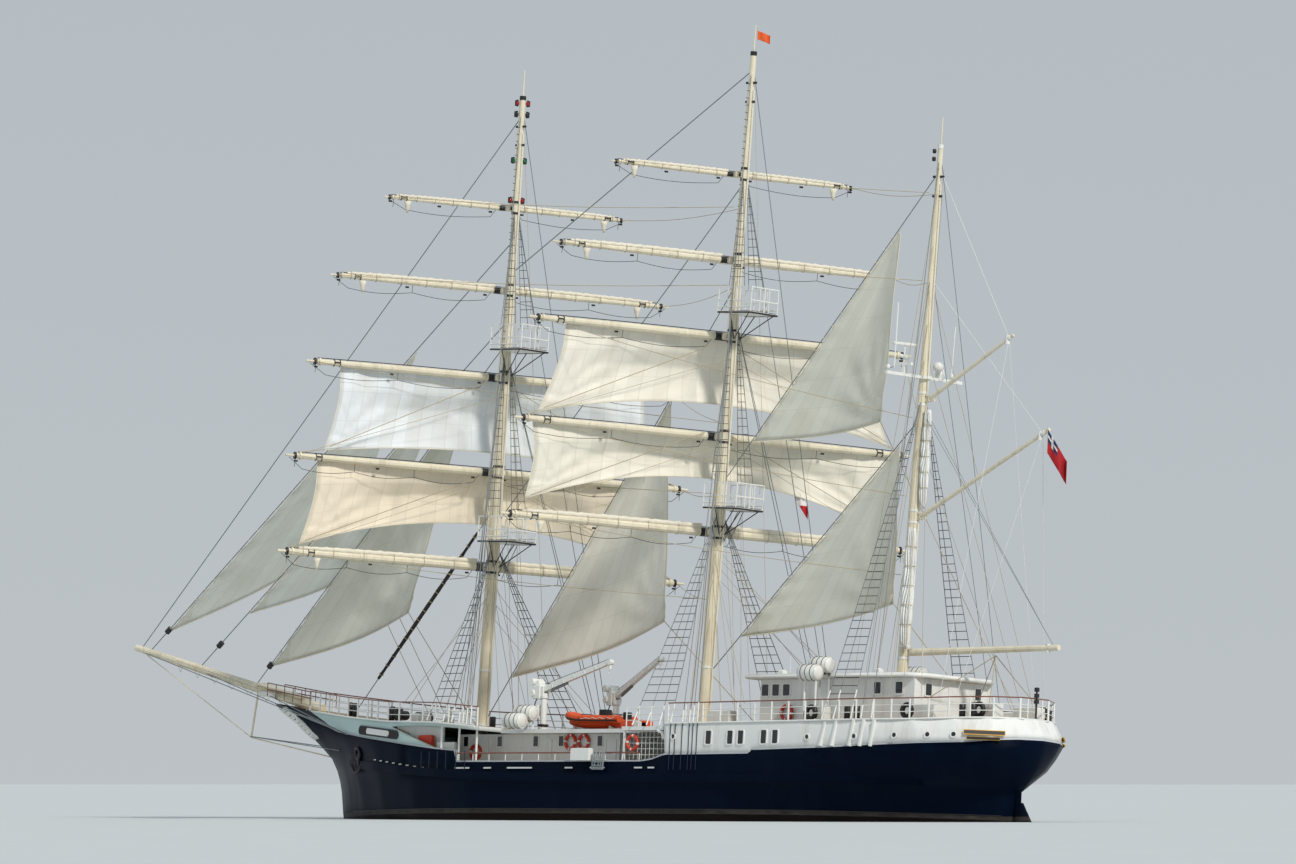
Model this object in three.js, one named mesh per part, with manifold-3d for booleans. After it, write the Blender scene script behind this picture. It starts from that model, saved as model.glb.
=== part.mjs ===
// Tall ship: a three-masted barque with sails set, built as a half-size model.
// Lengths here are full-size millimetres; the whole group is scaled by MODEL_SCALE at the end.
// +X points forward, +Y to port, +Z up. The origin is amidships, at the waterline, on the centreline.
import * as THREE from 'three';
import { mergeVertices } from 'three/addons/utils/BufferGeometryUtils.js';
import Module from 'manifold-3d';

const wasm = await Module();
wasm.setup();

// Driving dimensions
const MODEL_SCALE = 0.5;
const SEAT = 0.7; // gap where one piece rests on another
const PIN_GAP = 0.9; // running gap round a pin
const PIN_SIDES = 24;
const STOCK_SIDES = 48;
const JAW_GAP = 14; // gap above and below an eye between its jaws
const BIG = 90000; // reach of the cutting blocks

// Hull levels from the keel up. Each level is a waterline: z, its aft and fore ends, the half
// breadth amidships, and how the breadth swells from each end: length, roundness, fineness.
const HULL_LEVELS = [
  // z, aft, fore, half, run, runRound, runFine, entry, entryRound, entryFine
  [-4500, -22600, 20000, 200, 4000, 2.0, 0.6, 4000, 2.0, 0.6],
  [-4250, -22880, 20900, 1500, 18000, 2.0, 2.2, 18000, 2.0, 1.6],
  [-3400, -22880, 22700, 3750, 20000, 2.4, 2.0, 19000, 2.2, 1.35],
  [-2000, -22890, 24000, 4800, 20000, 2.6, 1.6, 18000, 2.2, 1.2],
  [-600, -22900, 24750, 5120, 20000, 3.0, 1.3, 17000, 2.2, 1.1],
  [300, -22950, 24950, 5220, 20000, 3.1, 1.15, 17000, 2.2, 1.0],
  [1400, -23150, 25120, 5280, 18000, 3.0, 0.95, 17000, 2.3, 1.0],
  [2000, -23700, 25280, 5300, 16500, 3.2, 0.75, 17000, 2.4, 1.0],
  [2600, -24150, 25550, 5300, 15500, 3.3, 0.6, 17000, 2.35, 1.0],
  [3250, -24420, 26000, 5300, 14500, 3.4, 0.52, 17200, 2.2, 1.0],
  [3900, -24620, 26850, 5300, 14000, 3.5, 0.46, 17500, 2.05, 1.03],
  [4350, -24520, 27500, 5280, 14000, 3.5, 0.46, 17800, 1.9, 1.06],
  [5200, -24060, 28800, 5200, 14000, 3.5, 0.48, 18400, 1.7, 1.1],
  [6300, -23600, 30700, 5100, 14000, 3.5, 0.5, 19200, 1.5, 1.15],
];
// Places of the hull's frames, as shares of each level's length from aft
const HULL_FRAMES = [0, 0.006, 0.02, 0.045, 0.085, 0.14, 0.22, 0.33, 0.46, 0.6, 0.7, 0.79, 0.86, 0.92, 0.965, 1];

// Where the dark topsides end, seen from the side, from the stern forward
const PAINT_LINE = [
  // x, z
  [-26500, 4250], [-24600, 4130], [-22500, 3850], [-14400, 3490], [-9700, 3380],
  [-9690, 3200], [-3750, 3150], [-3400, 3060], [-2900, 2910], [-2100, 2810],
  [11350, 2810], [11360, 3390], [13200, 3520], [16000, 3800], [20500, 4270],
  [23700, 4650], [27100, 5500], [31500, 6120],
];
const POOP_TOP = [[-26500, 5230], [-24200, 5150], [-20000, 4920], [-14000, 4830], [-3600, 4720]];
const FORECASTLE_TOP = [[9800, 4620], [13200, 4890], [17800, 5030], [22000, 5360], [26300, 5800], [31500, 6420]];
const FORECASTLE_DECK_THICKNESS = 230;
const RAKED_PLATING = [[17300, 4700], [13230, 3530]]; // white bow plating slopes down between these
const PASSAGE_HEAD = 16000; // fore end of the open waist, under the forecastle deck

const WAIST_DECK_Z = 2100;
const WAIST_AFT = -3450;
const BULWARK_THICKNESS = 170;

// Rubbing strake: its height climbs towards the bow
const STRAKE = { aft: -19500, fore: 22500, steps: 13, depth: 460, proud: 130, z: 1860, rise: 1000 };

const DECKHOUSE = { aft: 1700, fore: 13550, half: 2900, top: 4340 };
const UPPER_DECK = { z: 4350, thickness: 200, aft: -3400, fore: 9780, half: 3500, wideFore: -500, wideHalf: 5120 };
const PILLAR = { x: -650, y: 5040, width: 110 };
const HOUSE = { aft: -18500, fore: -7900, half: 2950, sill: 4950, top: 7070, waistAft: -10600, waistHalf: 2750 };
const ROOF = { z: 7080, thickness: 220, aft: -18850, fore: -7350, half: 3250, tail: 2500 };
const RUDDER = { axisX: -23080, stockRadius: 150, foot: -4330, head: 960, stockTop: 1750 };
const PROPELLER = { x: -19500, y: 1950, z: -2800, hub: 210, hubLength: 620, blade: 800, shaft: 130 };

// Masts: place and rake of each, and its radius at heights up the mast
const MASTS = {
  fore: { x: 14800, rake: 1.70, foot: WAIST_DECK_Z, truck: 38850, pole: 40300, girth: 340 },
  main: { x: -1220, rake: 2.66, foot: WAIST_DECK_Z, truck: 40150, pole: 41600, girth: 340 },
  mizzen: { x: -14710, rake: 2.63, foot: ROOF.z + ROOF.thickness, truck: 34450, pole: 35900, girth: 290 },
};
const POLE_RADIUS = 45;
// Share of the height to the truck, share of the girth
const MAST_TAPER = [[0.0, 1.0], [0.36, 1.0], [0.42, 0.9], [0.64, 0.74], [0.7, 0.66], [0.9, 0.52], [0.995, 0.46]];

// Yards: height on the mast, half length, radius
const PIVOT_AHEAD = 550; // truss pins stand this far ahead of the mast's centreline
const YARD_AHEAD = 380; // and the yards this far ahead of their pins
const BRACED = { fore: 25.5, main: 24.0 }; // port yardarms forward, degrees
const YARDS = {
  fore: [
    ['course', 13500, 11600, 225], ['lower_topsail', 18600, 11500, 205], ['upper_topsail', 23700, 10700, 205],
    ['topgallant', 28400, 9700, 165], ['royal', 32850, 6950, 125],
  ],
  main: [
    ['course', 15000, 11600, 225], ['lower_topsail', 20000, 11250, 205], ['upper_topsail', 25250, 10850, 205],
    ['topgallant', 29250, 9850, 165], ['royal', 33750, 7000, 125],
  ],
};
// Square sails: mast, yard that carries it, z of the clews, half width of head and foot, arch, belly
const SQUARE_SAILS = [
  ['fore', 'lower_topsail', 13930, 9600, 10400, 1900, 1150],
  ['fore', 'upper_topsail', 19020, 8650, 9350, 700, 1100],
  ['main', 'lower_topsail', 15850, 10100, 10300, 2000, 1150],
  ['main', 'upper_topsail', 20400, 8600, 9950, 1350, 1150],
];
const CLOTH = 24; // thickness of a sail's solid

// Railed tops: mast, name, height
const TOPS = [['fore', 'lower', 14800], ['fore', 'upper', 25100], ['main', 'lower', 16200], ['main', 'upper', 26400]];
const TOP_SIZE = { fore: 250, aft: 2100, half: 1050, thickness: 90, railHeight: 1380, rod: 50 };

const BOWSPRIT = { heel: [26900, 5960], tip: [42050, 9510], heelRadius: 300, tipRadius: 190 };
const SPRIT_SLOPE = (BOWSPRIT.tip[1] - BOWSPRIT.heel[1]) / (BOWSPRIT.tip[0] - BOWSPRIT.heel[0]);
const STRIKER = { top: [32050, 6950], foot: [32450, 4450], radius: 60 };
const STEM_EYE = [25500, 3250];
const WALKWAY = { aft: 28300, fore: 31900, half: 520, thickness: 80 };

// Stays on the centreline: name, lower end x and z, mast and height of the upper end
const STAYS = [
  ['outer_jib_stay', 41000, 9260, 'fore', 31100],
  ['middle_jib_stay', 36900, 8300, 'fore', 26800],
  ['inner_jib_stay', 32350, 7250, 'fore', 25600],
  ['main_stay', 14600, 5000, 'main', 28000],
  ['mizzen_stay', -1560, 7480, 'mizzen', 20550],
  ['mizzen_topmast_stay', -2040, 17450, 'mizzen', 33100],
  ['fore_stay', 24600, 5500, 'fore', 16850],
  ['flying_jib_stay', 41700, 9430, 'fore', 37800],
  ['main_topgallant_stay', 14334, 15693, 'main', 33300],
  ['main_royal_stay', 13931, 29287, 'main', 39200],
];
const STAY_RADIUS = 28;

// Fore-and-aft sails: stay, name, z of tack and head on the stay, clew, belly to leeward
const STAYSAILS = [
  ['outer_jib_stay', 'outer_jib', 10430, 25400, [27300, -1500, 15750], 700],
  ['middle_jib_stay', 'middle_jib', 11340, 22900, [25100, -1500, 14200], 600],
  ['inner_jib_stay', 'inner_jib', 8400, 22700, [22260, -1600, 11340], 700],
  ['main_stay', 'main_staysail', 7600, 22050, [3150, -1600, 10570], 800],
  ['mizzen_stay', 'mizzen_staysail', 9560, 19170, [-13190, -1200, 11210], 600],
  ['mizzen_topmast_stay', 'mizzen_topmast_staysail', 19700, 30320, [-11820, -1200, 20590], 600],
];

// Spars of the mizzen: name, height of the heel, run aft, rise, heel and end radius
const SPAR_PIVOT_AFT = 480;
const MIZZEN_SPARS = [
  ['boom', 8600, 9760, 120, 190, 150],
  ['lower_gaff', 15500, 8310, 4174, 130, 95],
  ['upper_gaff', 21500, 5440, 3037, 120, 90],
];
const BRAILED = [['lower', 8980, 14900, 300], ['upper', 16150, 20950, 220]];
const CROSSTREE = { z: 22500, half: 2900, width: 160 };

// Cranes: side, x, slewed inboard, luffed up, degrees
const CRANES = [['port', 7700, 0, 16.5], ['starboard', 7200, 17, 22]];
const CRANE = { y: 2500, foot: 4550, head: 6700, radius: 170, jib: 4900 };

const BOAT = { x: 5750, y: 300, length: 4700, beam: 1750, z: 5080, depth: 640 };
const RAFT = { radius: 400, length: 1150, spacing: 850, climb: 450 };
const RAFT_RACKS = [
  // node, x, y and z of the outer canister, z of the foot
  ['upper_deck', 8000, 4350, 4950, 4450],
  ['poop', -12800, 4470, 7250, 4700],
];

// Finishes
const finish = (color, roughness, metalness = 0) => new THREE.MeshStandardMaterial({ color, roughness, metalness });
const navyPaint = finish(0x0e1830, 0.35);
const whitePaint = finish(0xe8e9e4, 0.45);
const creamPaint = finish(0xe6dcc2, 0.5);
const sailcloth = finish(0xe9e5d8, 0.85);
const wire = finish(0x6b6f70, 0.45, 0.8);
const bronze = finish(0xa98a4a, 0.35, 0.9);
const orangeRubber = finish(0xc25a22, 0.6);
const darkPaint = finish(0x20242a, 0.5);

// Solids and meshes
function toSolid(geometry) {
  const bare = geometry.clone();
  bare.deleteAttribute('normal');
  bare.deleteAttribute('uv');
  const merged = mergeVertices(bare, 0.02);
  const vertProperties = new Float32Array(merged.attributes.position.array);
  const triVerts = new Uint32Array(merged.index.array);
  const solid = new wasm.Manifold(new wasm.Mesh({ numProp: 3, vertProperties, triVerts }));
  if (solid.volume() > 0) return solid;
  const turned = triVerts.map((v, i) => triVerts[i - (i % 3) + [0, 2, 1][i % 3]]);
  return new wasm.Manifold(new wasm.Mesh({ numProp: 3, vertProperties, triVerts: turned }));
}

function toGeometry(solid) {
  const { vertProperties, triVerts } = solid.getMesh();
  const geometry = new THREE.BufferGeometry();
  geometry.setAttribute('position', new THREE.BufferAttribute(new Float32Array(vertProperties), 3));
  geometry.setIndex(Array.from(triVerts));
  geometry.computeVertexNormals();
  return geometry;
}

function node(name, solid, material) {
  const mesh = new THREE.Mesh(toGeometry(solid), material);
  mesh.name = name;
  return mesh;
}

const join = (solids) => solids.reduce((all, one) => all.add(one));

function block(x0, x1, y0, y1, z0, z1) {
  const geometry = new THREE.BoxGeometry(x1 - x0, y1 - y0, z1 - z0);
  geometry.translate((x0 + x1) / 2, (y0 + y1) / 2, (z0 + z1) / 2);
  return toSolid(geometry);
}

// Round bar from a to b, with its own radius at each end
function bar(a, b, radius, endRadius = radius, sides = 8, matrix = new THREE.Matrix4()) {
  const from = new THREE.Vector3(...a);
  const to = new THREE.Vector3(...b);
  const along = to.clone().sub(from);
  const geometry = new THREE.CylinderGeometry(endRadius, radius, along.length(), sides);
  const turn = new THREE.Quaternion().setFromUnitVectors(new THREE.Vector3(0, 1, 0), along.clone().normalize());
  geometry.applyQuaternion(turn);
  const middle = from.add(to).multiplyScalar(0.5);
  geometry.translate(middle.x, middle.y, middle.z);
  return toSolid(geometry.applyMatrix4(matrix));
}

// Turned solid on a vertical axis, from a list of height and radius
function turned(profile, sides, matrix = new THREE.Matrix4()) {
  const outline = [[profile[0][0], 0], ...profile, [profile.at(-1)[0], 0]];
  const geometry = new THREE.LatheGeometry(outline.map(([z, r]) => new THREE.Vector2(r, z)), sides);
  geometry.rotateX(Math.PI / 2);
  return toSolid(geometry.applyMatrix4(matrix));
}

// Side outline in x and z, drawn out across the whole ship or a given width
function sideCut(outline, half = BIG) {
  const shape = new THREE.Shape(outline.map(([x, z]) => new THREE.Vector2(x, z)));
  const geometry = new THREE.ExtrudeGeometry(shape, { depth: 2 * half, bevelEnabled: false });
  geometry.rotateX(Math.PI / 2);
  geometry.translate(0, half, 0);
  return toSolid(geometry);
}

// Deck plan in x and y, drawn up from z by its thickness
function planCut(outline, z, thickness) {
  const shape = new THREE.Shape(outline.map(([x, y]) => new THREE.Vector2(x, y)));
  const geometry = new THREE.ExtrudeGeometry(shape, { depth: thickness, bevelEnabled: false });
  geometry.translate(0, 0, z);
  return toSolid(geometry);
}

// Closed skin from rows of points; each row is a loop, and the end rows are closed from their middles
function loft(rows) {
  const count = rows[0].length;
  const points = rows.flat();
  const faces = [];
  for (let r = 0; r < rows.length - 1; r += 1) {
    for (let i = 0; i < count; i += 1) {
      const a = r * count + i;
      const b = r * count + ((i + 1) % count);
      faces.push(a, b, b + count, a, b + count, a + count);
    }
  }
  [0, rows.length - 1].forEach((r) => {
    const middle = points.length;
    points.push([0, 1, 2].map((k) => rows[r].reduce((sum, p) => sum + p[k], 0) / count));
    for (let i = 0; i < count; i += 1) {
      const a = r * count + i;
      const b = r * count + ((i + 1) % count);
      faces.push(...(r === 0 ? [b, a, middle] : [a, b, middle]));
    }
  });
  return solidFromPoints(points, faces);
}

function solidFromPoints(points, faces) {
  const geometry = new THREE.BufferGeometry();
  geometry.setAttribute('position', new THREE.BufferAttribute(new Float32Array(points.flat()), 3));
  geometry.setIndex(faces);
  return toSolid(geometry);
}

// Thin curved sheet from a grid of points, given a thickness along its normals
function sheet(grid, thickness) {
  const rows = grid.length;
  const columns = grid[0].length;
  const at = (r, c) => new THREE.Vector3(...grid[Math.min(rows - 1, Math.max(0, r))][Math.min(columns - 1, Math.max(0, c))]);
  const points = [];
  [0.5, -0.5].forEach((side) => {
    for (let r = 0; r < rows; r += 1) {
      for (let c = 0; c < columns; c += 1) {
        const across = at(r, c + 1).sub(at(r, c - 1));
        const down = at(r + 1, c).sub(at(r - 1, c));
        const normal = across.cross(down).normalize().multiplyScalar(side * thickness);
        points.push(at(r, c).add(normal).toArray());
      }
    }
  });
  const back = rows * columns;
  const faces = [];
  for (let r = 0; r < rows - 1; r += 1) {
    for (let c = 0; c < columns - 1; c += 1) {
      const a = r * columns + c;
      const [b, d, e] = [a + 1, a + columns, a + columns + 1];
      faces.push(a, d, e, a, e, b);
      faces.push(back + a, back + e, back + d, back + a, back + b, back + e);
    }
  }
  const rim = [];
  for (let c = 0; c < columns - 1; c += 1) rim.push(c);
  for (let r = 0; r < rows - 1; r += 1) rim.push(r * columns + columns - 1);
  for (let c = columns - 1; c > 0; c -= 1) rim.push((rows - 1) * columns + c);
  for (let r = rows - 1; r > 0; r -= 1) rim.push(r * columns);
  rim.forEach((a, i) => {
    const b = rim[(i + 1) % rim.length];
    faces.push(a, b, back + b, a, back + b, back + a);
  });
  return solidFromPoints(points, faces);
}

// Hull form
const clampShare = (s) => Math.min(1, Math.max(0, s));
const swell = (share, round, fine) => (1 - (1 - clampShare(share)) ** round) ** fine;

function levelBreadth(level, x) {
  const [, aft, fore, half, run, runRound, runFine, entry, entryRound, entryFine] = level;
  return half * swell((x - aft) / run, runRound, runFine) * swell((fore - x) / entry, entryRound, entryFine);
}

// Half breadth of the hull at a place x and height z
function breadth(x, z) {
  const above = HULL_LEVELS.findIndex((level) => level[0] >= z);
  const upper = HULL_LEVELS[above < 1 ? 1 : above];
  const lower = HULL_LEVELS[above < 1 ? 0 : above - 1];
  const share = (z - lower[0]) / (upper[0] - lower[0]);
  return levelBreadth(lower, x) * (1 - share) + levelBreadth(upper, x) * share;
}

function hullForm() {
  const rows = HULL_LEVELS.map((level) => HULL_FRAMES.map((share) => {
    const x = level[1] + (level[2] - level[1]) * share;
    const y = share === 0 || share === 1 ? 0 : levelBreadth(level, x);
    return [x, y, level[0]];
  }));
  const count = HULL_FRAMES.length;
  const points = [];
  rows.forEach((row) => points.push(...row, ...row.map(([x, y, z]) => [x, -y, z])));
  const faces = [];
  const quad = (a, b, c, d) => faces.push(a, b, c, a, c, d);
  for (let i = 0; i < count - 1; i += 1) {
    for (let r = 0; r < rows.length - 1; r += 1) {
      const port = 2 * count * r + i;
      const starboard = port + count;
      quad(port, port + 2 * count, port + 2 * count + 1, port + 1);
      quad(starboard, starboard + 1, starboard + 2 * count + 1, starboard + 2 * count);
    }
    const top = 2 * count * (rows.length - 1) + i;
    quad(i, i + 1, i + count + 1, i + count);
    quad(top, top + count, top + count + 1, top + 1);
  }
  return solidFromPoints(points, faces);
}

// Rubbing strake round both sides, one slab that the hull fills
function rubbingStrake() {
  const rows = [];
  for (let i = 0; i <= STRAKE.steps; i += 1) {
    const x = STRAKE.aft + (STRAKE.fore - STRAKE.aft) * (i / STRAKE.steps);
    const z = STRAKE.z + STRAKE.rise * Math.max(0, (x - 4000) / (STRAKE.fore - 4000)) ** 1.6;
    const y = breadth(x, z) + STRAKE.proud;
    const [low, high] = [z - STRAKE.depth / 2, z + STRAKE.depth / 2];
    rows.push([[x, -y, low], [x, y, low], [x, y, high], [x, -y, high]]);
  }
  return loft(rows);
}

const form = hullForm();
const raised = (line, by) => line.map(([x, z]) => [x, z + by]);
const belowPaint = sideCut([
  [-BIG, -BIG], [BIG, -BIG], [BIG, PAINT_LINE.at(-1)[1]],
  ...PAINT_LINE.toReversed(), [-BIG, PAINT_LINE[0][1]],
]);

// Inside of the waist between its bulwarks
function waistWell() {
  const inner = 1 - BULWARK_THICKNESS / HULL_LEVELS[8][3];
  const inside = toSolid(toGeometry(form).scale(1, inner, 1));
  return inside.intersect(block(WAIST_AFT, PASSAGE_HEAD, -BIG, BIG, WAIST_DECK_Z, BIG));
}
const well = waistWell();

const rudderBore = bar(
  [RUDDER.axisX, 0, 0], [RUDDER.axisX, 0, RUDDER.stockTop + 60],
  RUDDER.stockRadius + PIN_GAP, undefined, STOCK_SIDES,
);
const sternpostGroove = bar([RUDDER.axisX, 0, -4350], [RUDDER.axisX, 0, RUDDER.head], RUDDER.stockRadius + 16, undefined, 16);
const rudderTrunk = rudderBore.add(sternpostGroove);

function shaftLine(side) {
  const y = side * PROPELLER.y;
  const end = PROPELLER.x + PROPELLER.hubLength / 2 + SEAT;
  const root = [end + 500, side * 500, -1500];
  return join([
    bar([end, y, PROPELLER.z], [end + 500, y, PROPELLER.z], PROPELLER.shaft),
    bar([end + 400, y, PROPELLER.z], [end + 5200, y * 0.93, PROPELLER.z + 250], PROPELLER.shaft, PROPELLER.shaft * 1.6),
    bar([end + 300, y, PROPELLER.z], root, 90),
    bar([end + 300, y, PROPELLER.z], [end + 500, side * 150, -3400], 90),
  ]);
}

function hull() {
  const heel = block(-23300, -22500, -110, 110, -4500, -4365);
  const shell = join([form.intersect(belowPaint), rubbingStrake(), shaftLine(1), shaftLine(-1), heel]);
  return shell.subtract(well).subtract(rudderTrunk);
}

// Bowsprit, its walkway, the striker under it and the bobstay down to the stem
function spritPoint(x, up = 0) {
  return [x, 0, BOWSPRIT.heel[1] + (x - BOWSPRIT.heel[0]) * SPRIT_SLOPE + up];
}

function bowspritSpar(extra = 0) {
  return bar(spritPoint(BOWSPRIT.heel[0]), spritPoint(BOWSPRIT.tip[0]), BOWSPRIT.heelRadius + extra, BOWSPRIT.tipRadius + extra, 12);
}

function walkway() {
  const top = BOWSPRIT.heelRadius * 0.85;
  return sideCut([
    [WALKWAY.aft, spritPoint(WALKWAY.aft, top)[2]], [WALKWAY.fore, spritPoint(WALKWAY.fore, top)[2]],
    [WALKWAY.fore, spritPoint(WALKWAY.fore, top + WALKWAY.thickness)[2]],
    [WALKWAY.aft, spritPoint(WALKWAY.aft, top + WALKWAY.thickness)[2]],
  ], WALKWAY.half);
}

const at = ([x, z], y = 0) => [x, y, z];

function bowsprit() {
  const bobstay = join([
    bar(spritPoint(BOWSPRIT.tip[0] - 150), at(STRIKER.foot), 30, 30, 6),
    bar(at(STRIKER.foot), at(STEM_EYE), 40, 40, 6),
  ]).subtract(form.translate([2 * SEAT, 0, 0]));
  return join([bowspritSpar(), walkway(), bar(at(STRIKER.top), at(STRIKER.foot), STRIKER.radius), bobstay]);
}

// Masts
const mastMatrix = ({ x, rake }) => new THREE.Matrix4().makeTranslation(x, 0, 0)
  .multiply(new THREE.Matrix4().makeRotationY(-THREE.MathUtils.degToRad(rake)));

function mastPole(mast, extra = 0, matrix = undefined) {
  const rake = THREE.MathUtils.degToRad(mast.rake);
  const step = (mast.foot + SEAT + (mast.girth + extra) * Math.sin(rake)) / Math.cos(rake);
  const profile = MAST_TAPER.map(([share, girth]) => [step + share * (mast.truck - step), mast.girth * girth + extra]);
  return turned([...profile, [mast.truck, POLE_RADIUS + extra], [mast.pole, POLE_RADIUS * 0.6 + extra]], 16, matrix);
}

// Two jaws and a pin that carry an eye; towards is +1 ahead of the mast and -1 aft of it
function eyeBracket(z, pivot, towards, eyeHeight, pinRadius) {
  const reach = pivot + 90;
  const [inner, outer] = [eyeHeight / 2 + JAW_GAP, eyeHeight / 2 + JAW_GAP + 45];
  const [x0, x1] = towards > 0 ? [0, reach] : [-reach, 0];
  return join([
    block(x0, x1, -80, 80, z + inner, z + outer),
    block(x0, x1, -80, 80, z - outer, z - inner),
    bar([towards * pivot, 0, z - inner - 5], [towards * pivot, 0, z + inner + 5], pinRadius, pinRadius, PIN_SIDES),
  ]);
}

const EYE = { height: 230, outer: 105, pin: 55 };
function eyeRing() {
  const ring = bar([0, 0, -EYE.height / 2], [0, 0, EYE.height / 2], EYE.outer, EYE.outer, 12);
  return ring.subtract(bar([0, 0, -EYE.height], [0, 0, EYE.height], EYE.pin + PIN_GAP, undefined, PIN_SIDES));
}
const eye = eyeRing();

function mastWithBrackets(key) {
  const mast = MASTS[key];
  const yardBrackets = (YARDS[key] ?? []).map(([, z]) => eyeBracket(z, PIVOT_AHEAD, 1, EYE.height, EYE.pin));
  const sparBrackets = key === 'mizzen'
    ? MIZZEN_SPARS.map(([, z]) => eyeBracket(z, SPAR_PIVOT_AFT, -1, EYE.height, EYE.pin)) : [];
  return join([mastPole(mast), ...yardBrackets, ...sparBrackets]);
}

// Crosstree on the mizzen with its scanner and domes
function crosstree() {
  const { z, half, width } = CROSSTREE;
  return join([
    turned([[z, 420], [z + width, 420]], 12),
    block(-width / 2, width / 2, -half, half, z, z + width),
    block(-width / 2, width / 2, 1500, 1500 + width, z, z + 620),
    block(-500, 500, 1560 - 90, 1560 + 90, z + 560, z + 700),
    turned([[z + 20, 200], [z + 350, 260], [z + 620, 190], [z + 700, 60]], 10, new THREE.Matrix4().makeTranslation(0, -1200, 0)),
  ]);
}

// Railed top round the after side of a mast
function railedTop(mast, z) {
  const { fore, aft, half, thickness, railHeight, rod } = TOP_SIZE;
  const e = rod / 2;
  const pieces = [block(-aft, fore, -half, half, z, z + thickness)];
  const corners = [[fore - e, half - e], [fore - e, e - half], [e - aft, half - e], [e - aft, e - half]];
  const posts = [...corners, [-aft / 2, half - e], [-aft / 2, e - half], [e - aft, 0]];
  posts.forEach(([x, y]) => pieces.push(block(x - e, x + e, y - e, y + e, z, z + railHeight)));
  [railHeight / 2, railHeight].forEach((up) => {
    [half - e, e - half].forEach((y) => pieces.push(block(-aft, fore, y - e, y + e, z + up - rod, z + up)));
    pieces.push(block(-aft, -aft + rod, -half, half, z + up - rod, z + up));
  });
  const clear = mastPole(mast, SEAT);
  return join(pieces).subtract(clear);
}

// Yard with its truss: a spar across the ship and an eye on the mast's pin
function yard(half, radius) {
  const spigot = 600;
  const profile = [
    [-half, radius * 0.32], [-half + spigot, radius * 0.36], [-half + spigot, radius * 0.72], [-half * 0.45, radius],
    [half * 0.45, radius], [half - spigot, radius * 0.72], [half - spigot, radius * 0.36], [half, radius * 0.32],
  ];
  const outline = [[profile[0][0], 0], ...profile, [half, 0]];
  const spar = toSolid(new THREE.LatheGeometry(outline.map(([y, r]) => new THREE.Vector2(r, y)), 10));
  const matrix = new THREE.Matrix4().makeTranslation(-YARD_AHEAD, 0, 0);
  const ring = toSolid(toGeometry(eye).applyMatrix4(matrix));
  const truss = block(-YARD_AHEAD + EYE.outer * 0.8, -radius * 0.5, -90, 90, -EYE.height / 2, EYE.height / 2);
  return join([spar, ring, truss]);
}

// Square sail, bellied forward, from its head under the yard to its clews over the yard below
function squareSail(head, clews, headHalf, footHalf, arch, belly, rows = 6, columns = 12) {
  const grid = [];
  for (let r = 0; r <= rows; r += 1) {
    const down = r / rows;
    const half = headHalf + (footHalf - headHalf) * down - 220 * Math.sin(Math.PI * down);
    const row = [];
    for (let c = 0; c <= columns; c += 1) {
      const across = (2 * c) / columns - 1;
      const round = 1 - across * across;
      const z = head + (clews + arch * round - head) * down;
      row.push([belly * round * Math.sin(Math.PI * (0.12 + 0.66 * down)) * (0.15 + 0.85 * Math.min(1, down * 2)), across * half, z]);
    }
    grid.push(row);
  }
  return sheet(grid, CLOTH);
}

// Triangular sail, its luff along a stay, its belly to leeward
function staysail(tack, head, clew, belly, rows = 7, columns = 5) {
  const [T, H, C] = [tack, head, clew].map((p) => new THREE.Vector3(...p));
  const stayRun = H.clone().sub(T).normalize();
  const aftwards = C.clone().sub(T);
  const off = aftwards.sub(stayRun.clone().multiplyScalar(aftwards.dot(stayRun))).normalize().multiplyScalar(STAY_RADIUS * 0.9);
  const grid = [];
  for (let r = 0; r <= rows; r += 1) {
    const up = r / rows;
    const luff = T.clone().lerp(H, up).add(off);
    const leech = C.clone().lerp(H, up * 0.975).add(off);
    const row = [];
    for (let c = 0; c <= columns; c += 1) {
      const across = c / columns;
      const point = luff.clone().lerp(leech, across);
      point.y -= belly * Math.sin(Math.PI * across) * (1 - up) ** 0.7;
      point.z -= 450 * Math.sin(Math.PI * across) * (1 - up) ** 4;
      row.push(point.toArray());
    }
    grid.push(row);
  }
  return sheet(grid, CLOTH);
}

// Spar on the mizzen: an eye and a tapered pole running aft
function mizzenSpar(run, rise, radius, endRadius) {
  const rake = THREE.MathUtils.degToRad(MASTS.mizzen.rake);
  const aft = -run * Math.cos(rake) + rise * Math.sin(rake);
  const up = run * Math.sin(rake) + rise * Math.cos(rake);
  const length = Math.hypot(aft, up);
  const start = [(aft / length) * EYE.outer * 0.7, 0, (up / length) * EYE.outer * 0.7];
  const pole = bar(start, [aft, 0, up], radius, endRadius, 10);
  const throat = bar([0, 0, -EYE.height * 4], [0, 0, EYE.height * 4], SPAR_PIVOT_AFT * 0.34, undefined, 12);
  const trimmed = pole.subtract(throat);
  const cheek = block(-EYE.outer * 3.4, -EYE.outer * 0.75, -60, 60, -EYE.height / 2, EYE.height / 2);
  return join([eye, cheek, trimmed]);
}

// Crane: column with its head, and a jib hinged on it
function craneColumn() {
  const { foot, head, radius } = CRANE;
  return join([
    turned([[foot + 160, radius], [head - 500, radius], [head - 450, radius * 1.35], [head - 190, radius * 1.35]], 12),
    block(-120, 420, -240, -140, head - 380, head + 150),
    block(-120, 420, 140, 240, head - 380, head + 150),
    bar([330, -230, head + 330], [330, 230, head + 330], 150, 150, 10),
    block(250, 420, -240, -140, head, head + 400),
    block(250, 420, 140, 240, head, head + 400),
    bar([0, -230, head], [0, 230, head], EYE.pin, EYE.pin, PIN_SIDES),
  ]);
}

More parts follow.
